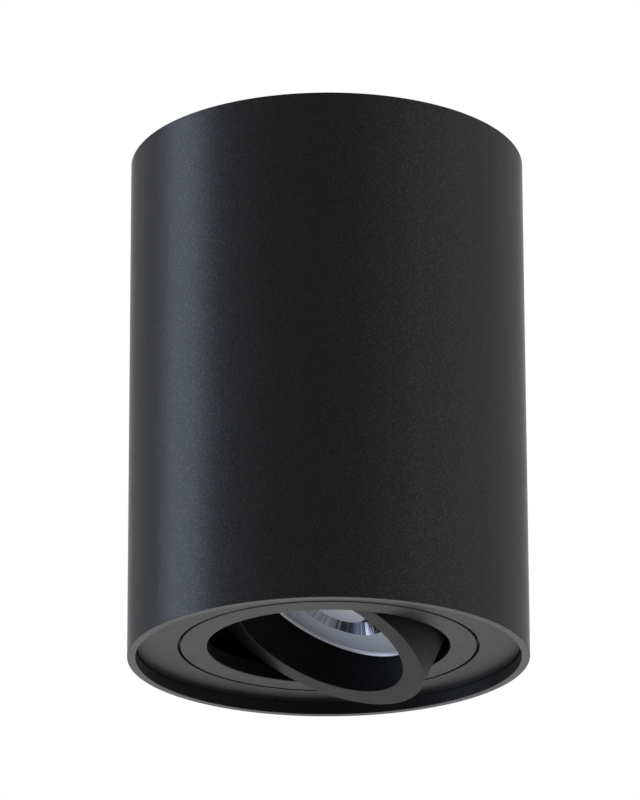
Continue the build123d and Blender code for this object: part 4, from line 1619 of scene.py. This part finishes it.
@dataclass(frozen=True)
class Studio:
    """Camera, lamps, world and floor."""

    camera_aim: Point = (-0.00184, 0.0, -0.06048)
    camera_distance: float = 1.3819
    pitch: float = 0.34652
    yaw: float = -0.0013
    roll: float = -0.00328
    focal_length: float = 256.85
    floor_height: float = -2.4
    floor_side: float = 6.0
    floor_colours: tuple[Colour, Colour] = ((0.8, 0.8, 0.79), (0.84, 0.84, 0.83))
    round_stops: tuple[tuple[float, float], ...] = (
        (-180, 0.4),
        (-150, 0.33),
        (-110, 0.3),
        (-60, 0.3),
        (-25, 0.18),
        (0, 0.16),
        (30, 0.29),
        (56, 0.52),
        (80, 0.58),
        (95, 0.52),
        (115, 0.47),
        (140, 0.38),
        (180, 0.4),
    )
    back_glow: float = 0.52
    behind_span: tuple[float, float] = (0.2, 0.9)
    below_span: tuple[float, float] = (-0.1, 0.4)
    backdrop_half_width: float = radians(17)
    backdrop_blur: float = 0.3
    backdrop_rise: tuple[float, float] = (-0.2, 0.0)
    light_middle: Point = (0.0, 0.0, -0.063)
    softbox: Softbox = Softbox(
        "left_softbox",
        turn=90,
        rise=-8,
        distance=1.6,
        width=0.92,
        height=3.0,
        radiance=2.2,
        colour=(0.67, 0.77, 1.0),
    )

    def set_up(self) -> None:
        """Sets up everything that isn't the light itself."""
        self._camera()
        self._world()
        self._floor()
        self.softbox.hang(Vector(self.light_middle))

    def _camera(self) -> None:
        """The camera at the photograph's viewing angle."""
        right = Vector((cos(self.yaw), -sin(self.yaw), 0.0))
        ahead = Vector((sin(self.yaw) * cos(self.pitch), cos(self.yaw) * cos(self.pitch), sin(self.pitch)))
        up = right.cross(ahead)
        tilted_right = cos(self.roll) * right + sin(self.roll) * up
        tilted_up = cos(self.roll) * up - sin(self.roll) * right
        data = bpy.data.cameras.new("camera")
        data.lens = self.focal_length
        data.sensor_fit = "VERTICAL"
        data.sensor_height = 36.0
        data.clip_start = 0.05
        camera = add_object("camera", data)
        turn = Matrix((tilted_right, tilted_up, -ahead)).transposed().to_4x4()
        place = Vector(self.camera_aim) - ahead * self.camera_distance
        camera.matrix_world = Matrix.Translation(place) @ turn
        bpy.context.scene.camera = camera

    def _world(self) -> None:
        """White to the camera; for the rest a room that is darker in front, with a white backdrop behind."""
        world = bpy.data.worlds.new("studio")
        bpy.context.scene.world = world
        world.use_nodes = True
        graph = Graph(world.node_tree)
        way = graph.add("ShaderNodeTexCoord", out="Generated")
        x = graph.add("ShaderNodeSeparateXYZ", None, {0: way})
        y, z = x.also(1), x.also(2)
        bearing = x.maths("ARCTAN2", y * -1.0) / (2 * pi) + 0.5
        stops = [(turn / 360 + 0.5, (value, value, value)) for turn, value in self.round_stops]
        around = graph.add("ShaderNodeValToRGB", {"stops": stops}, {0: bearing})
        behind = y.between(*self.behind_span) * (z * -1.0).between(*self.below_span)
        room = around + behind * self.back_glow
        aside = x.maths("ARCTAN2", y).maths("ABSOLUTE")
        near, far = (self.backdrop_half_width * (1 + sign * self.backdrop_blur) for sign in (-1, 1))
        backdrop = (1 - aside.between(near, far)) * z.between(*self.backdrop_rise)
        level = room + backdrop * (1 - room)
        camera = graph.add("ShaderNodeLightPath", out="Is Camera Ray")
        strength = level * (1 - camera) + camera
        light = graph.add("ShaderNodeBackground", None, {"Color": WHITE, "Strength": strength})
        graph.add("ShaderNodeOutputWorld", None, {0: light})

    def _floor(self) -> None:
        """A pale floor far below, which keeps the light's shadow."""
        half = self.floor_side / 2
        mesh = bpy.data.meshes.new("floor")
        corners = [(-half, -half), (half, -half), (half, half), (-half, half)]
        mesh.from_pydata([(x, y, self.floor_height) for x, y in corners], [], [(0, 1, 2, 3)])
        material, graph, where = new_surface("pale_floor")
        speck = graph.noise(where, 0.02, 3.0, 1.0)
        matte = principled(graph, {"Base Color": graph.mix(speck, *self.floor_colours), "Roughness": 0.8})
        bright = graph.add("ShaderNodeEmission", None, {"Color": WHITE, "Strength": 1.0})
        camera = graph.add("ShaderNodeLightPath", out="Is Camera Ray")
        close_surface(graph, graph.add("ShaderNodeMixShader", None, {0: camera * 0.75, 1: matte, 2: bright}))
        mesh.materials.append(material)
        add_object("floor", mesh)


def main() -> None:
    """Builds the light piece by piece and sets up the studio."""
    logging.basicConfig(level=logging.INFO, format="%(name)s: %(message)s")
    bpy.context.scene.view_settings.view_transform = "Standard"
    cup = CupFrame()
    kit = Kit(Finishes(cup.matrix), Lathe(), LeadMaker(), cup)
    for assembly in (
        Housing(kit),
        FacePlate(kit),
        SwivelRing(kit),
        TiltCup(kit),
        Lamp(kit),
        Pivots(kit),
        CeilingEnd(kit),
        Wiring(kit),
        Lampholder(kit),
    ):
        assembly.build()
    Studio().set_up()


if __name__ == "__main__":
    main()
